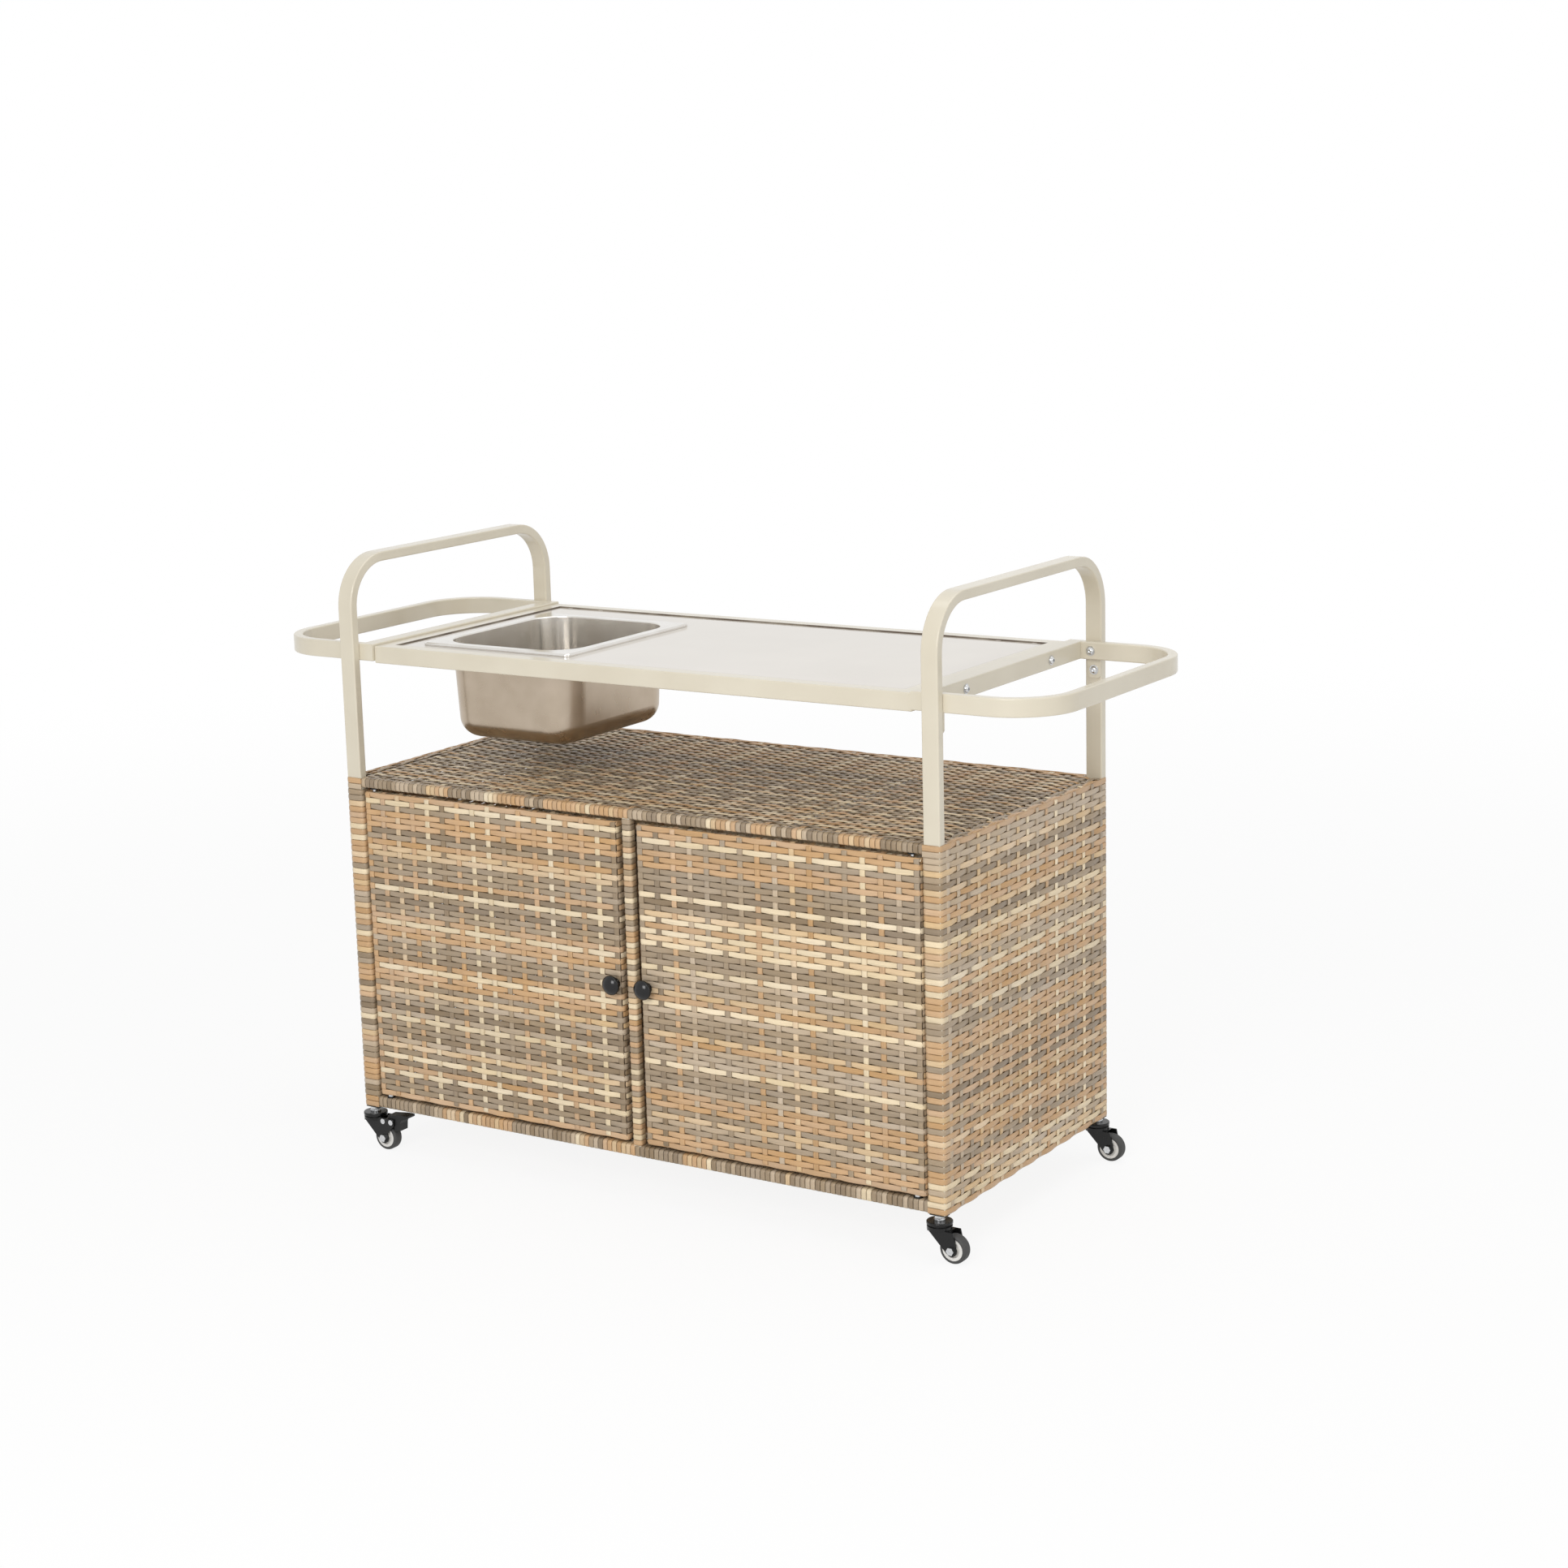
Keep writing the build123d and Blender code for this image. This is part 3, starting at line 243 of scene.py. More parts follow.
richness = add(tree, "ShaderNodeMapRange", {
    "Value": drift, "From Min": NOISE_LOW, "From Max": NOISE_HIGH, "To Min": 1.12, "To Max": 0.86,
})
shade = add(tree, "ShaderNodeHueSaturation", {
    "Color": tint, "Value": bright, "Saturation": richness,
})
relief = add(tree, "ShaderNodeBump", {
    "Height": grain, "Strength": 0.25, "Distance": GRAIN_DEPTH_MM * MM,
})
gloss = add(tree, "ShaderNodeMapRange", {"Value": grain, "To Min": 0.30, "To Max": 0.46})
plastic = add(tree, "ShaderNodeBsdfPrincipled", {
    "Base Color": shade, "Roughness": gloss, "Normal": relief, "IOR": 1.5,
})
add(tree, "ShaderNodeOutputMaterial", {"Surface": plastic})
print("made", strand_plastic.name, "in", len(TONES), "tones")

# %% [markdown]
# ## Pressed stainless steel
# The pan is pressed from stainless sheet. Its outside keeps the satin face of the rolled sheet, and
# its inside and rim are polished so that they wipe clean. The outside is also coloured a warmer,
# darker brown, a painted reflection of the woven shelf. One material does both: a face whose normal
# points towards the pan's middle is inside, and everything above the panel is rim.

# %% Pan steel
SHEET_DRIFT_MM = 40.0
POLISH = 0.09
pan_low, pan_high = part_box("ice_pan")

pan_steel, tree = blank_material("pressed_stainless_sheet")
place = add(tree, "ShaderNodeTexCoord").outputs["Object"]
normal = add(tree, "ShaderNodeNewGeometry").outputs["Normal"]
pan_middle = (pan_low + pan_high) / 2
spoke = add(tree, "ShaderNodeVectorMath", {0: place, 1: pan_middle}, operation="SUBTRACT")
spoke = add(tree, "ShaderNodeVectorMath", {0: spoke, 1: (1, 1, 0)}, operation="MULTIPLY")
outward = add(tree, "ShaderNodeVectorMath", {0: spoke, 1: normal}, operation="DOT_PRODUCT")
inside = add(tree, "ShaderNodeMath", {0: outward.outputs["Value"], 1: MM}, operation="LESS_THAN")
height = add(tree, "ShaderNodeSeparateXYZ", {0: place}).outputs["Z"]
rim = add(tree, "ShaderNodeMath", {0: height, 1: panel_high.z}, operation="GREATER_THAN")
polished = add(tree, "ShaderNodeMath", {0: inside, 1: rim}, operation="MAXIMUM")
drift = add(tree, "ShaderNodeTexNoise", {"Vector": place, "Scale": grain_size(SHEET_DRIFT_MM)})
# Painted reflection: the outside is tinted warm brown, as the woven shelf would look mirrored in it
satin_reflected_brown = add(tree, "ShaderNodeValToRGB", {"Fac": drift},
            stops=[(NOISE_LOW, "#B5A693"), (NOISE_HIGH, "#C0B19F")])
bright = add(tree, "ShaderNodeValToRGB", {"Fac": drift},
             stops=[(NOISE_LOW, "#DAD6D0"), (NOISE_HIGH, "#E2DFDA")])
shade = add(tree, "ShaderNodeMixRGB", {0: polished, 1: satin_reflected_brown, 2: bright})
rough = add(tree, "ShaderNodeMapRange", {"Value": drift, "To Min": 0.25, "To Max": 0.31})
rough = add(tree, "ShaderNodeMath", {0: polished, 1: -POLISH, 2: rough}, operation="MULTIPLY_ADD")
steel = add(tree, "ShaderNodeBsdfPrincipled", {
    "Base Color": shade, "Roughness": rough, "Metallic": 1.0,
})
add(tree, "ShaderNodeOutputMaterial", {"Surface": steel})
print("made", pan_steel.name)

# %% [markdown]
# ## Smaller finishes
# The bolts are zinc plated. The serving panel is taupe glass with a polished face. The castors are
# black enamel, white nylon and dark rubber. Each is a Principled shader with a noise at a true size
# for its colour, gloss and relief, so one function makes them all from a row of numbers.

# %% Metals, glass, nylon and rubber
RELIEF_DEPTH_MM = 0.3


def finish(name, colours, gloss, feature_mm, bump=0.05, **constants):
    """A finish whose colour, gloss and relief all follow one noise of the given feature size."""
    made, tree = blank_material(name)
    place = add(tree, "ShaderNodeTexCoord").outputs["Object"]
    noise = add(tree, "ShaderNodeTexNoise", {"Vector": place, "Scale": grain_size(feature_mm)})
    shade = add(tree, "ShaderNodeValToRGB", {"Fac": noise},
                stops=[(NOISE_LOW, colours[0]), (NOISE_HIGH, colours[1])])
    smoothest, roughest = gloss
    rough = add(tree, "ShaderNodeMapRange", {
        "Value": noise, "To Min": smoothest, "To Max": roughest,
    })
    relief = add(tree, "ShaderNodeBump", {
        "Height": noise, "Strength": bump, "Distance": RELIEF_DEPTH_MM * MM,
    })
    inputs = {"Base Color": shade, "Roughness": rough, "Normal": relief}
    inputs.update(constants)
    surface = add(tree, "ShaderNodeBsdfPrincipled", inputs)
    add(tree, "ShaderNodeOutputMaterial", {"Surface": surface})
    return made


plated_steel = finish("zinc_plated_steel", ("#C2C3C4", "#DADBDC"),
                      (0.16, 0.28), 3.0, Metallic=1.0)
taupe_glass = finish("polished_taupe_glass", ("#D8D1C7", "#DDD6CC"),
                     (0.02, 0.05), 140.0, 0.0, IOR=1.52)
black_enamel = finish("black_enamel", ("#0C0C0C", "#141414"),
                      (0.14, 0.24), 2.0, IOR=1.4)
black_nylon = finish("black_moulded_nylon", ("#101010", "#181817"),
                     (0.38, 0.52), 0.7, 0.1, IOR=1.4)
knob_black = finish("gloss_black_plastic", ("#0C0C0D", "#121213"),
                    (0.12, 0.2), 8.0, IOR=1.45)
white_nylon = finish("white_moulded_nylon", ("#DFDDD8", "#ECEAE6"),
                     (0.3, 0.42), 2.0, IOR=1.53)
dark_rubber = finish("castor_rubber", ("#3A3A3A", "#474746"),
                     (0.6, 0.75), 1.0, 0.12, IOR=1.52)
clear_pad = finish("soft_clear_bumper", ("#DAD9D4", "#E6E5E1"),
                   (0.25, 0.35), 2.0, IOR=1.45)
print("made eight smaller finishes")

# %% [markdown]
# ## Dressing the rigid pieces
# A rigid piece of the frame keeps its exact shape and only gets its finish. Names in the frame
# tell what each piece is, so a short list of words is enough to sort them.

# %% Finishes for the rigid pieces
FINISH_BY_WORD = [
    ("bolts", plated_steel), ("stems", plated_steel), ("axle", plated_steel), ("pin", plated_steel),
    ("screw", plated_steel), ("strike", plated_steel), ("rivets", plated_steel),
    ("knob", knob_black), ("fork", black_enamel), ("rim", white_nylon), ("tyre", dark_rubber),
    ("pedal", black_nylon), ("plugs", black_nylon), ("bushes", black_nylon), ("catch", black_nylon),
    ("pads", clear_pad), ("panel", taupe_glass), ("pan", pan_steel),
    ("table_frame", recess_coat), ("door_frame", covered_coat),
]


def finish_of(name):
    """The finish of a rigid piece, from the first word in the list that its name holds."""
    words = [made for word, made in FINISH_BY_WORD if word in name]
    return words[0] if words else powder_coat


for name, piece in nodes.items():
    piece.data.materials.clear()
    piece.data.materials.append(finish_of(name))
print("finished", len(nodes), "rigid pieces")

# %% [markdown]
# ## The loom: one tree that makes woven strand
# A plain weave is many copies of one thing: a flat strand that follows a line and rides over and
# under the strands that cross it. Modelling each strand by hand would take thousands of moves, and
# a bump map would leave a flat wall, so a Geometry Nodes tree does it. Its input is a mesh of bare
# lines, with the outward direction and the count of crossings written on every point. The tree
# lifts each line in a wave, lets it wander a little as a hand-woven one does, and sweeps a flat
# rounded section along it.

# %% The weaving tree
STRAND_STEP = 4.6
STRAND_WIDTH = 8.35
STRAND_LIFT = 0.85
# In millimetres
WEAVE_SIZES = {
    "Step": STRAND_STEP, "Width": STRAND_WIDTH, "Thickness": 1.5, "Lift": STRAND_LIFT,
    "Wander": 0.25, "Wander length": 60.0,
}

loom = bpy.data.node_groups.new("strand_loom", "GeometryNodeTree")
loom.interface.new_socket("Lines", in_out="INPUT", socket_type="NodeSocketGeometry")
for size_name, millimetres in WEAVE_SIZES.items():
    size = loom.interface.new_socket(size_name, in_out="INPUT", socket_type="NodeSocketFloat")
    size.default_value = millimetres * MM
loom.interface.new_socket("Seed", in_out="INPUT", socket_type="NodeSocketFloat")
loom.interface.new_socket("Finish", in_out="INPUT", socket_type="NodeSocketMaterial")
loom.interface.new_socket("Strands", in_out="OUTPUT", socket_type="NodeSocketGeometry")

given = add(loom, "NodeGroupInput").outputs
curve = add(loom, "GeometryNodeMeshToCurve", {"Mesh": given["Lines"]})
even = add(loom, "GeometryNodeResampleCurve", {
    "Curve": curve, "Length": given["Step"],
}, mode="LENGTH")
print("the loom takes", len(WEAVE_SIZES), "sizes")

# %% [markdown]
# The wave is a cosine of the count of crossings, so a strand is up at one crossing and down at the
# next. A plain cosine is too pointed for a flat strand, so the tree broadens its tops with
# one and a half minus half its square.

# %% The wave and the wander
FULL_SWING = 2.0

out = add(loom, "GeometryNodeInputNamedAttribute", {"Name": "out"}, data_type="FLOAT_VECTOR")
station = add(loom, "GeometryNodeInputNamedAttribute", {"Name": "station"}, data_type="FLOAT")
play = add(loom, "GeometryNodeInputNamedAttribute", {"Name": "play"}, data_type="FLOAT")
turn = add(loom, "ShaderNodeMath", {0: station, 1: math.pi}, operation="MULTIPLY")
wave = add(loom, "ShaderNodeMath", {0: turn}, operation="COSINE")
square = add(loom, "ShaderNodeMath", {0: wave, 1: wave}, operation="MULTIPLY")
half = add(loom, "ShaderNodeMath", {0: square, 1: 0.5}, operation="MULTIPLY")
broaden = add(loom, "ShaderNodeMath", {0: 1.5, 1: half}, operation="SUBTRACT")
broad = add(loom, "ShaderNodeMath", {0: wave, 1: broaden}, operation="MULTIPLY")
ride = add(loom, "ShaderNodeMath", {0: broad, 1: play}, operation="MULTIPLY")
rise = add(loom, "ShaderNodeMath", {0: ride, 1: given["Lift"]}, operation="MULTIPLY")
lift = add(loom, "ShaderNodeVectorMath", {0: out, "Scale": rise}, operation="SCALE")

tangent = add(loom, "GeometryNodeInputTangent")
sideways = add(loom, "ShaderNodeVectorMath", {0: tangent, 1: out}, operation="CROSS_PRODUCT")
here = add(loom, "GeometryNodeInputPosition")
fineness = add(loom, "ShaderNodeMath", {0: 1.0, 1: given["Wander length"]}, operation="DIVIDE")
noise = add(loom, "ShaderNodeTexNoise", {
    "Vector": here, "W": given["Seed"], "Scale": fineness, "Detail": 0.0,
}, noise_dimensions="4D")
swing = add(loom, "ShaderNodeMapRange", {
    "Value": noise, "To Min": -FULL_SWING, "To Max": FULL_SWING,
})
reach = add(loom, "ShaderNodeMath", {0: swing, 1: given["Wander"]}, operation="MULTIPLY")
sway = add(loom, "ShaderNodeVectorMath", {0: sideways, "Scale": reach}, operation="SCALE")
offset = add(loom, "ShaderNodeVectorMath", {0: lift, 1: sway}, operation="ADD")
moved = add(loom, "GeometryNodeSetPosition", {"Geometry": even, "Offset": offset})
print("the loom has", len(loom.nodes), "nodes so far")

# %% [markdown]
# The section is a flat oval, because the strand comes out of the extruder with a slight crown that
# catches the light. Set Curve Normal lays its broad side on the panel, because a swept section
# follows the curve's normal. Two attributes go along for the finish: the distance along the strand
# and the place around its section.

# %% The section and the sweep
OVAL_POINTS = 8

faced = add(loom, "GeometryNodeSetCurveNormal", {"Curve": moved, "Normal": out}, mode="FREE")
ruler = add(loom, "GeometryNodeSplineParameter")
marked = add(loom, "GeometryNodeStoreNamedAttribute", {
    "Geometry": faced, "Name": "along", "Value": ruler.outputs["Length"],
}, data_type="FLOAT", domain="POINT")
section = add(loom, "GeometryNodeCurvePrimitiveCircle", {
    "Resolution": OVAL_POINTS, "Radius": 0.5,
})
flat = add(loom, "ShaderNodeCombineXYZ", {"X": given["Thickness"], "Y": given["Width"], "Z": 1.0})
oval = add(loom, "GeometryNodeTransform", {"Geometry": section, "Scale": flat})
ring = add(loom, "GeometryNodeSplineParameter")
around = add(loom, "GeometryNodeStoreNamedAttribute", {
    "Geometry": oval, "Name": "around", "Value": ring.outputs["Factor"],
}, data_type="FLOAT", domain="POINT")
swept = add(loom, "GeometryNodeCurveToMesh", {
    "Curve": marked, "Profile Curve": around, "Fill Caps": True,
})
smooth = add(loom, "GeometryNodeSetShadeSmooth", {"Geometry": swept})
whole = add(loom, "GeometryNodeRealizeInstances", {"Geometry": smooth})
dressed = add(loom, "GeometryNodeSetMaterial", {"Geometry": whole, "Material": given["Finish"]})
add(loom, "NodeGroupOutput", {"Strands": dressed})
print("the loom has", len(loom.nodes), "nodes")

# %% [markdown]
# ## Laying out the lines
# Every strand starts as a plain line on the panel's middle surface. Where a strand goes round an
# edge, its line turns on a small arc. One helper rounds the corners of a flat run and gives the
# outward direction at each point. Another collects the lines of one panel, weaves them and keeps
# the result as an ordinary mesh.

# %% Line helpers
ARC_STEPS = 4
EDGE_ROUND = 3.2
STRAIGHT = 0.99


def rounded_run(corners, closed=False):
    """Points and outward directions along flat corners that all turn left, with round corners."""
    run = []
    count = len(corners)
    for index, corner in enumerate(corners):
        here = Vector(corner)
        before = here - Vector(corners[index - 1])
        after = Vector(corners[(index + 1) % count]) - here
        if not closed and index == 0:
            before = after
        if not closed and index == count - 1:
            after = before
        into, away = before.normalized(), after.normalized()
        first, last = Vector((into.y, -into.x)), Vector((away.y, -away.x))
        if first.dot(last) > STRAIGHT:
            run.append((here, first))
            continue
        centre = here - into * EDGE_ROUND + away * EDGE_ROUND
        for step in range(ARC_STEPS + 1):
            angle = math.pi / 2 * step / ARC_STEPS
            facing = first * math.cos(angle) + last * math.sin(angle)
            run.append((centre + facing * EDGE_ROUND, facing))
    return run


class Lines:
    """The bare lines of one woven piece, ready for the loom."""

    def __init__(self):
        self.points, self.edges, self.out = [], [], []
        self.numbers = {"station": [], "play": [], "tone": [], "own_shade": []}

    def lay(self, run, tone, own, closed=False):
        """Add a strand from its (point, outward, crossings, play) stops, its tone and its shade."""
        start = len(self.points)
        for point, facing, station, play in run:
            self.points.append(point * MM)
            self.out.extend(facing)
            for key, value in zip(self.numbers, (station, play, (tone + 0.5) / len(TONES), own)):
                self.numbers[key].append(value)
        self.edges += [(i, i + 1) for i in range(start, len(self.points) - 1)]
        if closed:
            self.edges.append((len(self.points) - 1, start))

    def weave(self, name, body, seed, replaces=(), **sizes):
        """Run the loom over the lines and keep the result as a plain mesh on a body."""
        mesh = bpy.data.meshes.new(name)
        mesh.from_pydata(self.points, self.edges, [])
        mesh.attributes.new("out", "FLOAT_VECTOR", "POINT").data.foreach_set("vector", self.out)
        for key, values in self.numbers.items():
            mesh.attributes.new(key, "FLOAT", "POINT").data.foreach_set("value", values)
        piece = bpy.data.objects.new(name, mesh)
        bpy.context.scene.collection.objects.link(piece)
        modifier = piece.modifiers.new("loom", "NODES")
        modifier.node_group = loom
        settings = {"Seed": float(seed), "Finish": strand_plastic}
        settings.update({key.capitalize(): value * MM for key, value in sizes.items()})
        for item in loom.interface.items_tree:
            if item.in_out == "INPUT" and item.name in settings:
                modifier[item.identifier] = settings[item.name]
        ready = piece.evaluated_get(bpy.context.evaluated_depsgraph_get())
        woven = bpy.data.meshes.new_from_object(ready)
        piece.modifiers.clear()
        piece.data = woven
        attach(piece, body)
        if replaces:
            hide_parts(*replaces)
        triangles = sum(len(face.vertices) - 2 for face in woven.polygons)
        print(name, len(self.edges), "line steps,", triangles, "triangles")


print("a corner of", EDGE_ROUND, "mm turns in", ARC_STEPS, "steps")

# %% [markdown]
# ## Tones
# The maker weaves from bundles of strand and takes the next when one runs out, so a panel shows
# short uneven bands: a few warm rows, a few cool ones, and now and then a single pale one. Rows are
# drawn in such runs. The strands that cross them are single ones, each with a tone of its own.

# %% Tone draws
FAMILIES = {"warm": (TAN, TAN, LIGHT_TAN), "cool": (GREY, GREY, GREIGE, TAUPE), "pale": (CREAM,)}
# Each family's share of the runs, and its longest run
ROW_RUNS = {"warm": (38, 3), "cool": (34, 4), "pale": (28, 1)}
END_RUNS = {"warm": (50, 4), "cool": (38, 3), "pale": (12, 1)}
RAIL_RUNS = {"warm": (40, 10), "cool": (40, 16), "pale": (20, 3)}
STILE_RUNS = {"warm": (38, 2), "cool": (34, 2), "pale": (28, 1)}
WARP_WEIGHTS = (22, 12, 20, 14, 22, 10)
SEEDS = {
    "left_door": 11, "right_door": 23, "back": 37, "shelf": 41, "floor": 53, "left_end": 61,
    "right_end": 71, "top_rail": 81, "bottom_rail": 83, "stile": 85,
}


def row_tones(rng, count, runs):
    """Tones for rows, in short runs of one family after another."""
    tones, last = [], None
    while len(tones) < count:
        kinds = [kind for kind in FAMILIES if kind != last]
        last = rng.choices(kinds, [runs[kind][0] for kind in kinds])[0]
        tones += [rng.choice(FAMILIES[last]) for row in range(rng.randint(1, runs[last][1]))]
    return tones[:count]


def warp_tone(rng):
    """The tone of a single crossing strand."""
    return rng.choices(range(len(TONES)), WARP_WEIGHTS)[0]


print("tones come in", len(FAMILIES), "families")

# %% [markdown]
# ## Woven panels
# A panel has rows along its length and crossing strands, the warps, about 28 mm apart. Both lie on
# one flat surface, and their ends turn round the panel's edges. Where a panel has thickness, more
# rows lie on its top and bottom edges. The function below lays out any such panel from its corner,
# its directions and its size, so doors, back, shelf and floor differ only in a few numbers.

# %% A panel function
ROW_PITCH = 8.56
WARP_PITCH = 27.8
WARP_WIDTH = 9.0
WARP_STEP = 2.14
WARP_LIFT = 0.55
FIRST_WARP = 0.7 * WARP_WIDTH
MID_DEPTH = 0.9


def folded(length, low_turn, high_turn):
    """A run along a panel's face that may turn in round its edges."""
    corners = [(MID_DEPTH, MID_DEPTH), (length - MID_DEPTH, MID_DEPTH)]
    if low_turn:
        corners.insert(0, (MID_DEPTH, low_turn))
    if high_turn:
        corners.append((length - MID_DEPTH, high_turn))
    return rounded_run(corners)


def travelled(spot, length):
    """How far along the face a point of a folded run is, past the ends too."""
    past = spot.y - MID_DEPTH
    return spot.x + past if spot.x > length / 2 else spot.x - past


def panel(name, body, corner, across, up, outward, size, seed, node,
          fold=(0, 0, 0, 0), edge_rows=(), bound=False, step=STRAND_STEP,
          row_width=STRAND_WIDTH, lift=STRAND_LIFT):
    """Weave one panel. fold gives how far strands turn in at the left, right, bottom and top."""
    rng = random.Random(seed)
    turn = Matrix((across, up, -outward)).transposed()
    width, height = size
    left, right, bottom, top = fold
    rows = round(height / ROW_PITCH)
    row_pitch = height / rows
    warps = round((width - 2 * FIRST_WARP) / WARP_PITCH)
    warp_pitch = (width - 2 * FIRST_WARP) / warps
    tones = row_tones(rng, rows, ROW_RUNS)
    if bound:
        tones[0] = tones[-1] = TAN

    wefts = Lines()
    across_run = folded(width, left, right)
    for row, tone in enumerate(tones):
        v = (row + 0.5) * row_pitch
        wefts.lay([
            (corner + turn @ Vector((p.x, v, p.y)), turn @ Vector((f.x, 0, f.y)),
             (travelled(p, width) - FIRST_WARP) / warp_pitch + row, 1.0) for p, f in across_run
        ], tone, rng.random())
    for count, depth in enumerate(edge_rows):
        for v, side, row in ((MID_DEPTH, -1, -1 - count), (height - MID_DEPTH, 1, rows + count)):
            wefts.lay([
                (corner + turn @ Vector((u, v, depth)), turn @ Vector((0, side, 0)),
                 (u - FIRST_WARP) / warp_pitch + row, 1.0) for u in (MID_DEPTH, width - MID_DEPTH)
            ], TAN, rng.random())
    wefts.weave(f"{name}_rows", body, seed, replaces=[node], step=step, width=row_width, lift=lift)

    crossing = Lines()
    up_run = folded(height, bottom, top)
    for warp in range(warps + 1):
        u = FIRST_WARP + warp * warp_pitch
        crossing.lay([
            (corner + turn @ Vector((u, p.x, p.y)), turn @ Vector((0, f.x, f.y)),
             travelled(p, height) / row_pitch + 0.5 + warp, 1.0) for p, f in up_run
        ], warp_tone(rng), rng.random())
    crossing.weave(f"{name}_warps", body, seed + 1, width=WARP_WIDTH, step=WARP_STEP,
                   lift=WARP_LIFT)


print("a panel has a row every", ROW_PITCH, "mm and a warp every", WARP_PITCH, "mm")

# %% [markdown]
# ## Wound door edges
# Round the top and bottom of a door, short turns of strand lie side by side over the tube and end
# under the first and last rows. A strand that crosses nothing does not wave, so its count of
# crossings is set between two tops and its play to none.

# %% A function for a door's edges
TURN_PITCH = 8.1
TURN_GAP = 0.25
TURN_WANDER = 0.1
EDGE_LAP = 5.0
EDGE_INSET = 1.6
EDGE_STEP = 1.6
EDGE_THICKNESS = 0.8
UNWOVEN = (0.5, 0.0)


def wind_edges(name, body, low, high, seed):
    """Wind a door's top and bottom edges with short turns."""
    rng = random.Random(seed)
    behind = high.y - low.y - MID_DEPTH
    turns = round((high.x - low.x) / TURN_PITCH)
    pitch = (high.x - low.x) / turns
    edges = Lines()
    flat = rounded_run([(EDGE_INSET, behind), (EDGE_INSET, EDGE_INSET), (EDGE_LAP, EDGE_INSET)])
    for z, inward in ((high.z, -1), (low.z, 1)):
        for count, tone in enumerate(row_tones(rng, turns, STILE_RUNS)):
            x = low.x + (count + 0.5) * pitch
            edges.lay([
                (Vector((x, low.y + p.y, z + inward * p.x)), Vector((0, f.y, inward * f.x)),
                 *UNWOVEN) for p, f in flat
            ], tone, rng.random())
    edges.weave(name, body, seed, step=EDGE_STEP, width=pitch - TURN_GAP, thickness=EDGE_THICKNESS,
                wander=TURN_WANDER)


print("a door's edge has a turn every", TURN_PITCH, "mm")

# %% [markdown]
# ## Doors, back, shelf and floor
# The doors' strands go round all four edges and end behind, as on a frame that is woven over. The
# back runs between the rear posts and turns in at the top, over the edge of the shelf. The back and
# the floor are beaten tight, so that no light shows through, and lap the posts and the front rail a
# little. The shelf is woven a little more open than the rest, and its rows dive under the border of
# each end.

# %% Weave the flat panels
X, Y, Z = Vector((1, 0, 0)), Vector((0, 1, 0)), Vector((0, 0, 1))
DOOR_LIP = 1.0
BACK_TURN = 10.0
BACK_EDGE_ROWS = (5.0,)
END_BORDER = 17.0
ROW_DIVE = 7.0
OPEN_ROW = 6.9
CLOSED_ROW = 9.3
CLOSED_LIFT = 0.3
BACK_LAP = 2.0
FLOOR_LAP = 4.0
OPEN_LIFT = 1.1
LONG_STEP = 5.0
FLOOR_STEP = 8.0

for door in ("left_door", "right_door"):
    low, high = (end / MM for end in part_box(f"{door}_weave"))
    turn_in = high.y - low.y - DOOR_LIP
    panel(door, door, low, X, Z, -Y, (high.x - low.x, high.z - low.z), SEEDS[door],
          f"{door}_weave", fold=(turn_in,) * 4, bound=True)
    wind_edges(f"{door}_edges", door, low, high, SEEDS[door] + 2)

low, high = (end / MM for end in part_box("back_weave"))
panel("back", "frame", Vector((high.x + BACK_LAP, high.y, low.z)), -X, Z, Y,
      (high.x - low.x + 2 * BACK_LAP, high.z - low.z), SEEDS["back"], "back_weave",
      fold=(0, 0, BACK_TURN, BACK_TURN), edge_rows=BACK_EDGE_ROWS, step=LONG_STEP,
      row_width=CLOSED_ROW)

low, high = (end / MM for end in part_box("shelf_weave"))
panel("shelf", "frame", Vector((low.x + END_BORDER, low.y, high.z)), X, Y, Z,
      (high.x - low.x - 2 * END_BORDER, high.y - low.y - BACK_TURN), SEEDS["shelf"],
      "shelf_weave", fold=(ROW_DIVE, ROW_DIVE, 0, 0), step=LONG_STEP, row_width=OPEN_ROW,
      lift=OPEN_LIFT)

low, high = (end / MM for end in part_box("floor_weave"))
panel("floor", "frame", Vector((low.x, low.y - FLOOR_LAP, high.z)), X, Y, Z,
      (high.x - low.x, high.y - low.y + FLOOR_LAP), SEEDS["floor"], "floor_weave",
      step=FLOOR_STEP, row_width=CLOSED_ROW, lift=CLOSED_LIFT)

# %% [markdown]
# ## Ends that wrap round the posts
# Each end is woven round its two posts in one go: a row starts in the doorway, crosses the face of
# the front post, runs along the end and turns round the rear post. There are no warps on the posts,
# so the rows lie flat there, and the wave fades in between the posts. The warps turn in over the
# top edge, where two more rows make a border along the shelf.

# %% Weave the ends
POST_DEPTH = 14.0
RETURN = 15.6
FADE = 10.0
WARP_FROM_POST = 5.0
FOOT_TURN = 12.0
INNER_PLAY = 0.5
REAR_SHORTER = 2.0
END_ROW = 8.5
END_LIFT = 1.0
doorway = (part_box("front_bottom_wrap")[1].z / MM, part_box("front_top_wrap")[0].z / MM)


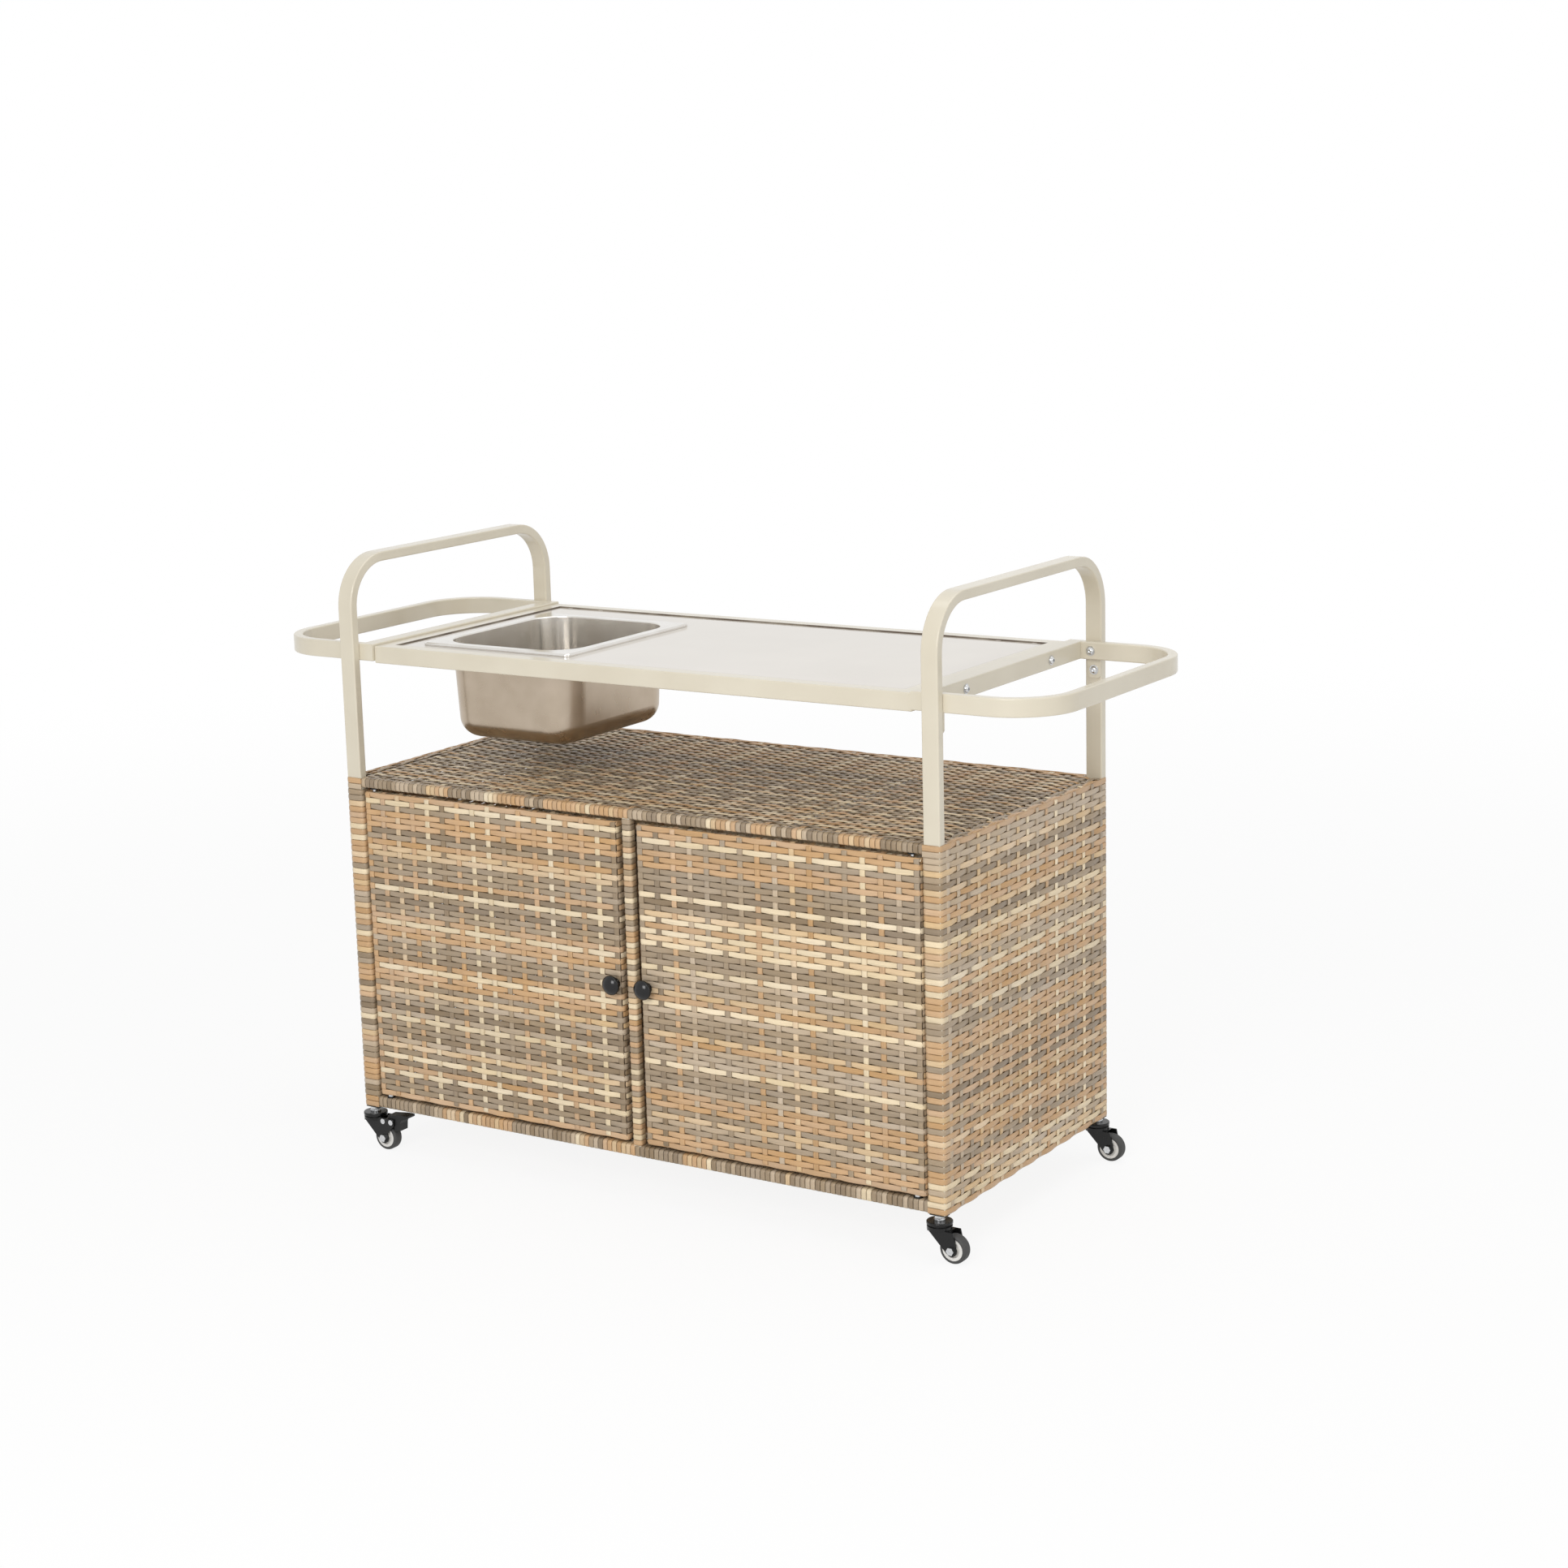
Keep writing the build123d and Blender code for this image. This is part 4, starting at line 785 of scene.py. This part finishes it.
def end_panel(side, sign, seed):
    """Weave one end of the cabinet round its posts; sign is -1 for the left end."""
    rng = random.Random(seed)
    low, high = (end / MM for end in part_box(f"side_weave_{side}"))
    height = high.z - low.z
    rows = round(height / ROW_PITCH)
    row_pitch = height / rows
    outer = max(abs(low.x), abs(high.x))
    inner = min(abs(low.x), abs(high.x)) + INNER_PLAY
    front, back = low.y + MID_DEPTH, high.y - MID_DEPTH
    post_front, post_back = front + POST_DEPTH, back - POST_DEPTH
    first_warp = post_front + WARP_FROM_POST
    warps = round((post_back - WARP_FROM_POST - first_warp) / WARP_PITCH)
    warp_pitch = (post_back - WARP_FROM_POST - first_warp) / warps

    def stop(x, y, z, facing, row):
        on_post = x < outer - 2 * MID_DEPTH and z < high.z - 2 * MID_DEPTH
        play = 0.0 if on_post else min(y - post_front, post_back - y) / FADE
        return (Vector((sign * x, y, z)), Vector((sign * facing[0], facing[1], facing[2])),
                (y - first_warp) / warp_pitch + row, min(max(play, 0.0), 1.0))

    wefts = Lines()
    sides = [post_front, post_front + FADE, post_back - FADE, post_back]
    for row, tone in enumerate(row_tones(rng, rows, END_RUNS)):
        z = low.z + (row + 0.5) * row_pitch
        corners = [(inner, front), (outer - MID_DEPTH, front)]
        corners += [(outer - MID_DEPTH, y) for y in sides]
        corners += [(outer - MID_DEPTH, back), (inner + REAR_SHORTER, back)]
        if doorway[0] < z < doorway[1]:
            corners.insert(0, (inner, front + RETURN))
        run = [stop(p.x, p.y, z, (f.x, f.y, 0), row) for p, f in rounded_run(corners)]
        wefts.lay(run, tone, rng.random())
    for count, tone in enumerate((TAN, GREY)):
        x = outer - (count + 0.5) * row_pitch
        run = [stop(x, y, high.z - MID_DEPTH, (0, 0, 1), rows + count) for y in sides]
        wefts.lay(run, tone, rng.random())
    wefts.weave(f"end_{side}_rows", "frame", seed, replaces=[f"side_weave_{side}"],
                width=END_ROW, lift=END_LIFT)

    crossing = Lines()
    up_run = folded(height, FOOT_TURN, END_BORDER)
    for warp in range(warps + 1):
        y = first_warp + warp * warp_pitch
        crossing.lay([
            (Vector((sign * (outer - p.y), y, low.z + p.x)), Vector((-sign * f.y, 0, f.x)),
             travelled(p, height) / row_pitch + 0.5 + warp, 1.0) for p, f in up_run
        ], warp_tone(rng), rng.random())
    crossing.weave(f"end_{side}_warps", "frame", seed + 1, width=WARP_WIDTH, step=WARP_STEP,
                   lift=WARP_LIFT)


end_panel("left", -1, SEEDS["left_end"])
end_panel("right", 1, SEEDS["right_end"])

# %% [markdown]
# ## Rails wound with strand
# The front rails and the upright between the doors are bare tube wound with strand, turn beside
# turn. Each turn is a closed loop round the tube, and a handful of turns in a row share a tone.

# %% Wind the rails
HALF_STRAND = 0.5
WINDING_STEP = 2.5


def wind(name, node, axis, seed, runs):
    """Wind strand round one rail, turn beside turn along its axis (0 for X, 2 for Z)."""
    rng = random.Random(seed)
    low, high = (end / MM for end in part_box(node))
    cross = 2 - axis
    turns = round((high[axis] - low[axis]) / TURN_PITCH)
    pitch = (high[axis] - low[axis]) / turns
    near, far = low.y + HALF_STRAND, high.y - HALF_STRAND
    first, last = low[cross] + HALF_STRAND, high[cross] - HALF_STRAND
    loop = rounded_run([(first, near), (last, near), (last, far), (first, far)], closed=True)
    winding = Lines()
    for count, tone in enumerate(row_tones(rng, turns, runs)):
        run = []
        for p, f in loop:
            point, facing = Vector((p.x, p.y, p.x)), Vector((f.x, f.y, f.x))
            point[axis], facing[axis] = low[axis] + (count + 0.5) * pitch, 0
            run.append((point, facing, *UNWOVEN))
        winding.lay(run, tone, rng.random(), closed=True)
    winding.weave(name, "frame", seed, replaces=[node], width=pitch - TURN_GAP,
                  step=WINDING_STEP, wander=TURN_WANDER)


wind("top_rail_winding", "front_top_wrap", 0, SEEDS["top_rail"], RAIL_RUNS)
wind("bottom_rail_winding", "front_bottom_wrap", 0, SEEDS["bottom_rail"], RAIL_RUNS)
wind("stile_winding", "stile_wrap", 2, SEEDS["stile"], STILE_RUNS)

# %% [markdown]
# ## Studio
# A plain white floor and a white world make the pale background. To the camera and in reflections
# the floor glows partly by itself, and fully further out, so that it runs into the white world with
# no horizon and still shows the cart's soft shadow. The lamps are large and soft, so the tube shows
# long gentle highlights, and the key stands in front.

# %% Floor
FLOOR_HALF = 14.0
NEAR, FAR = 0.9, 4.5
NEAR_GLOW = 0.88


def direct_sight(tree):
    """One where the camera sees a point itself, in a reflection or through glass, else zero."""
    path = add(tree, "ShaderNodeLightPath").outputs
    seen = add(tree, "ShaderNodeMath", {
        0: path["Is Camera Ray"], 1: path["Is Glossy Ray"],
    }, operation="MAXIMUM")
    return add(tree, "ShaderNodeMath", {
        0: seen, 1: path["Is Transmission Ray"],
    }, operation="MAXIMUM")


floor_mesh = bpy.data.meshes.new("studio_floor")
corners = [(x * FLOOR_HALF, y * FLOOR_HALF, 0) for x, y in ((-1, -1), (1, -1), (1, 1), (-1, 1))]
floor_mesh.from_pydata(corners, [], [(0, 1, 2, 3)])
floor = bpy.data.objects.new("studio_floor", floor_mesh)
bpy.context.scene.collection.objects.link(floor)

floor_paint, tree = blank_material("white_studio_floor")
place = add(tree, "ShaderNodeTexCoord").outputs["Object"]
distance = add(tree, "ShaderNodeVectorMath", {0: place}, operation="LENGTH").outputs["Value"]
glow_share = add(tree, "ShaderNodeMapRange", {
    "Value": distance, "From Min": NEAR, "From Max": FAR, "To Min": NEAR_GLOW, "To Max": 1.0,
}, interpolation_type="SMOOTHSTEP")
seen = direct_sight(tree)
share = add(tree, "ShaderNodeMath", {0: seen, 1: glow_share}, operation="MULTIPLY")
paint = add(tree, "ShaderNodeBsdfPrincipled", {"Base Color": linear("#F4F4F3"), "Roughness": 0.9})
glow = add(tree, "ShaderNodeEmission", {"Color": linear("#FFFFFF"), "Strength": 1.0})
both = add(tree, "ShaderNodeMixShader", {0: share, 1: paint, 2: glow})
add(tree, "ShaderNodeOutputMaterial", {"Surface": both})
floor_mesh.materials.append(floor_paint)
print("floor is", 2 * FLOOR_HALF, "m across")

# %% World and lamps
ROOM_LIGHT = 0.5

world = bpy.data.worlds.new("white_studio")
world.use_nodes = True
bpy.context.scene.world = world
tree = world.node_tree
tree.nodes.clear()
seen = direct_sight(tree)
strength = add(tree, "ShaderNodeMapRange", {"Value": seen, "To Min": ROOM_LIGHT, "To Max": 1.0})
sky = add(tree, "ShaderNodeBackground", {"Color": linear("#FFFFFF"), "Strength": strength})
add(tree, "ShaderNodeOutputWorld", {"Surface": sky})


def lamp(name, place, aim, size, watts):
    """A square soft lamp that points at a spot."""
    data = bpy.data.lights.new(name, "AREA")
    data.size, data.energy = size, watts
    made = bpy.data.objects.new(name, data)
    made.location = place
    made.rotation_euler = (Vector(aim) - Vector(place)).to_track_quat("-Z", "Y").to_euler()
    bpy.context.scene.collection.objects.link(made)


CART_MIDDLE = (0.0, 0.0, 0.5)
lamp("key", (0.9, -3.6, 2.3), CART_MIDDLE, size=1.8, watts=73)
lamp("fill", (3.4, -0.6, 1.6), CART_MIDDLE, size=2.2, watts=15)
lamp("top", (0.3, 0.6, 3.4), CART_MIDDLE, size=2.5, watts=24)
print("three lamps and a white world")

# %% [markdown]
# ## Camera
# The camera has the photo's viewing angle: about 33 degrees round to the right of the doors and 12
# degrees above the horizon, with a long lens.

# %% Camera
CAMERA_PLACE = Vector((2.36048, -3.49161, 1.45885))
CAMERA_AIM = Vector((0.10839, 0.00425, 0.56945))
CAMERA_ROLL = math.radians(-1.475)
LENS = 68.354
SENSOR_WIDTH = 36.0
CLIP_END = 100.0

camera_data = bpy.data.cameras.new("photo_camera")
camera_data.sensor_width = SENSOR_WIDTH
camera_data.lens = LENS
camera_data.clip_end = CLIP_END
camera = bpy.data.objects.new("photo_camera", camera_data)
camera.rotation_mode = "QUATERNION"
camera.location = CAMERA_PLACE
level_turn = (CAMERA_AIM - CAMERA_PLACE).to_track_quat("-Z", "Y")
camera.rotation_quaternion = level_turn @ Matrix.Rotation(CAMERA_ROLL, 4, "Z").to_quaternion()
bpy.context.scene.collection.objects.link(camera)
bpy.context.scene.camera = camera
bpy.context.scene.view_settings.view_transform = "Standard"
print("camera at", tuple(camera.location))
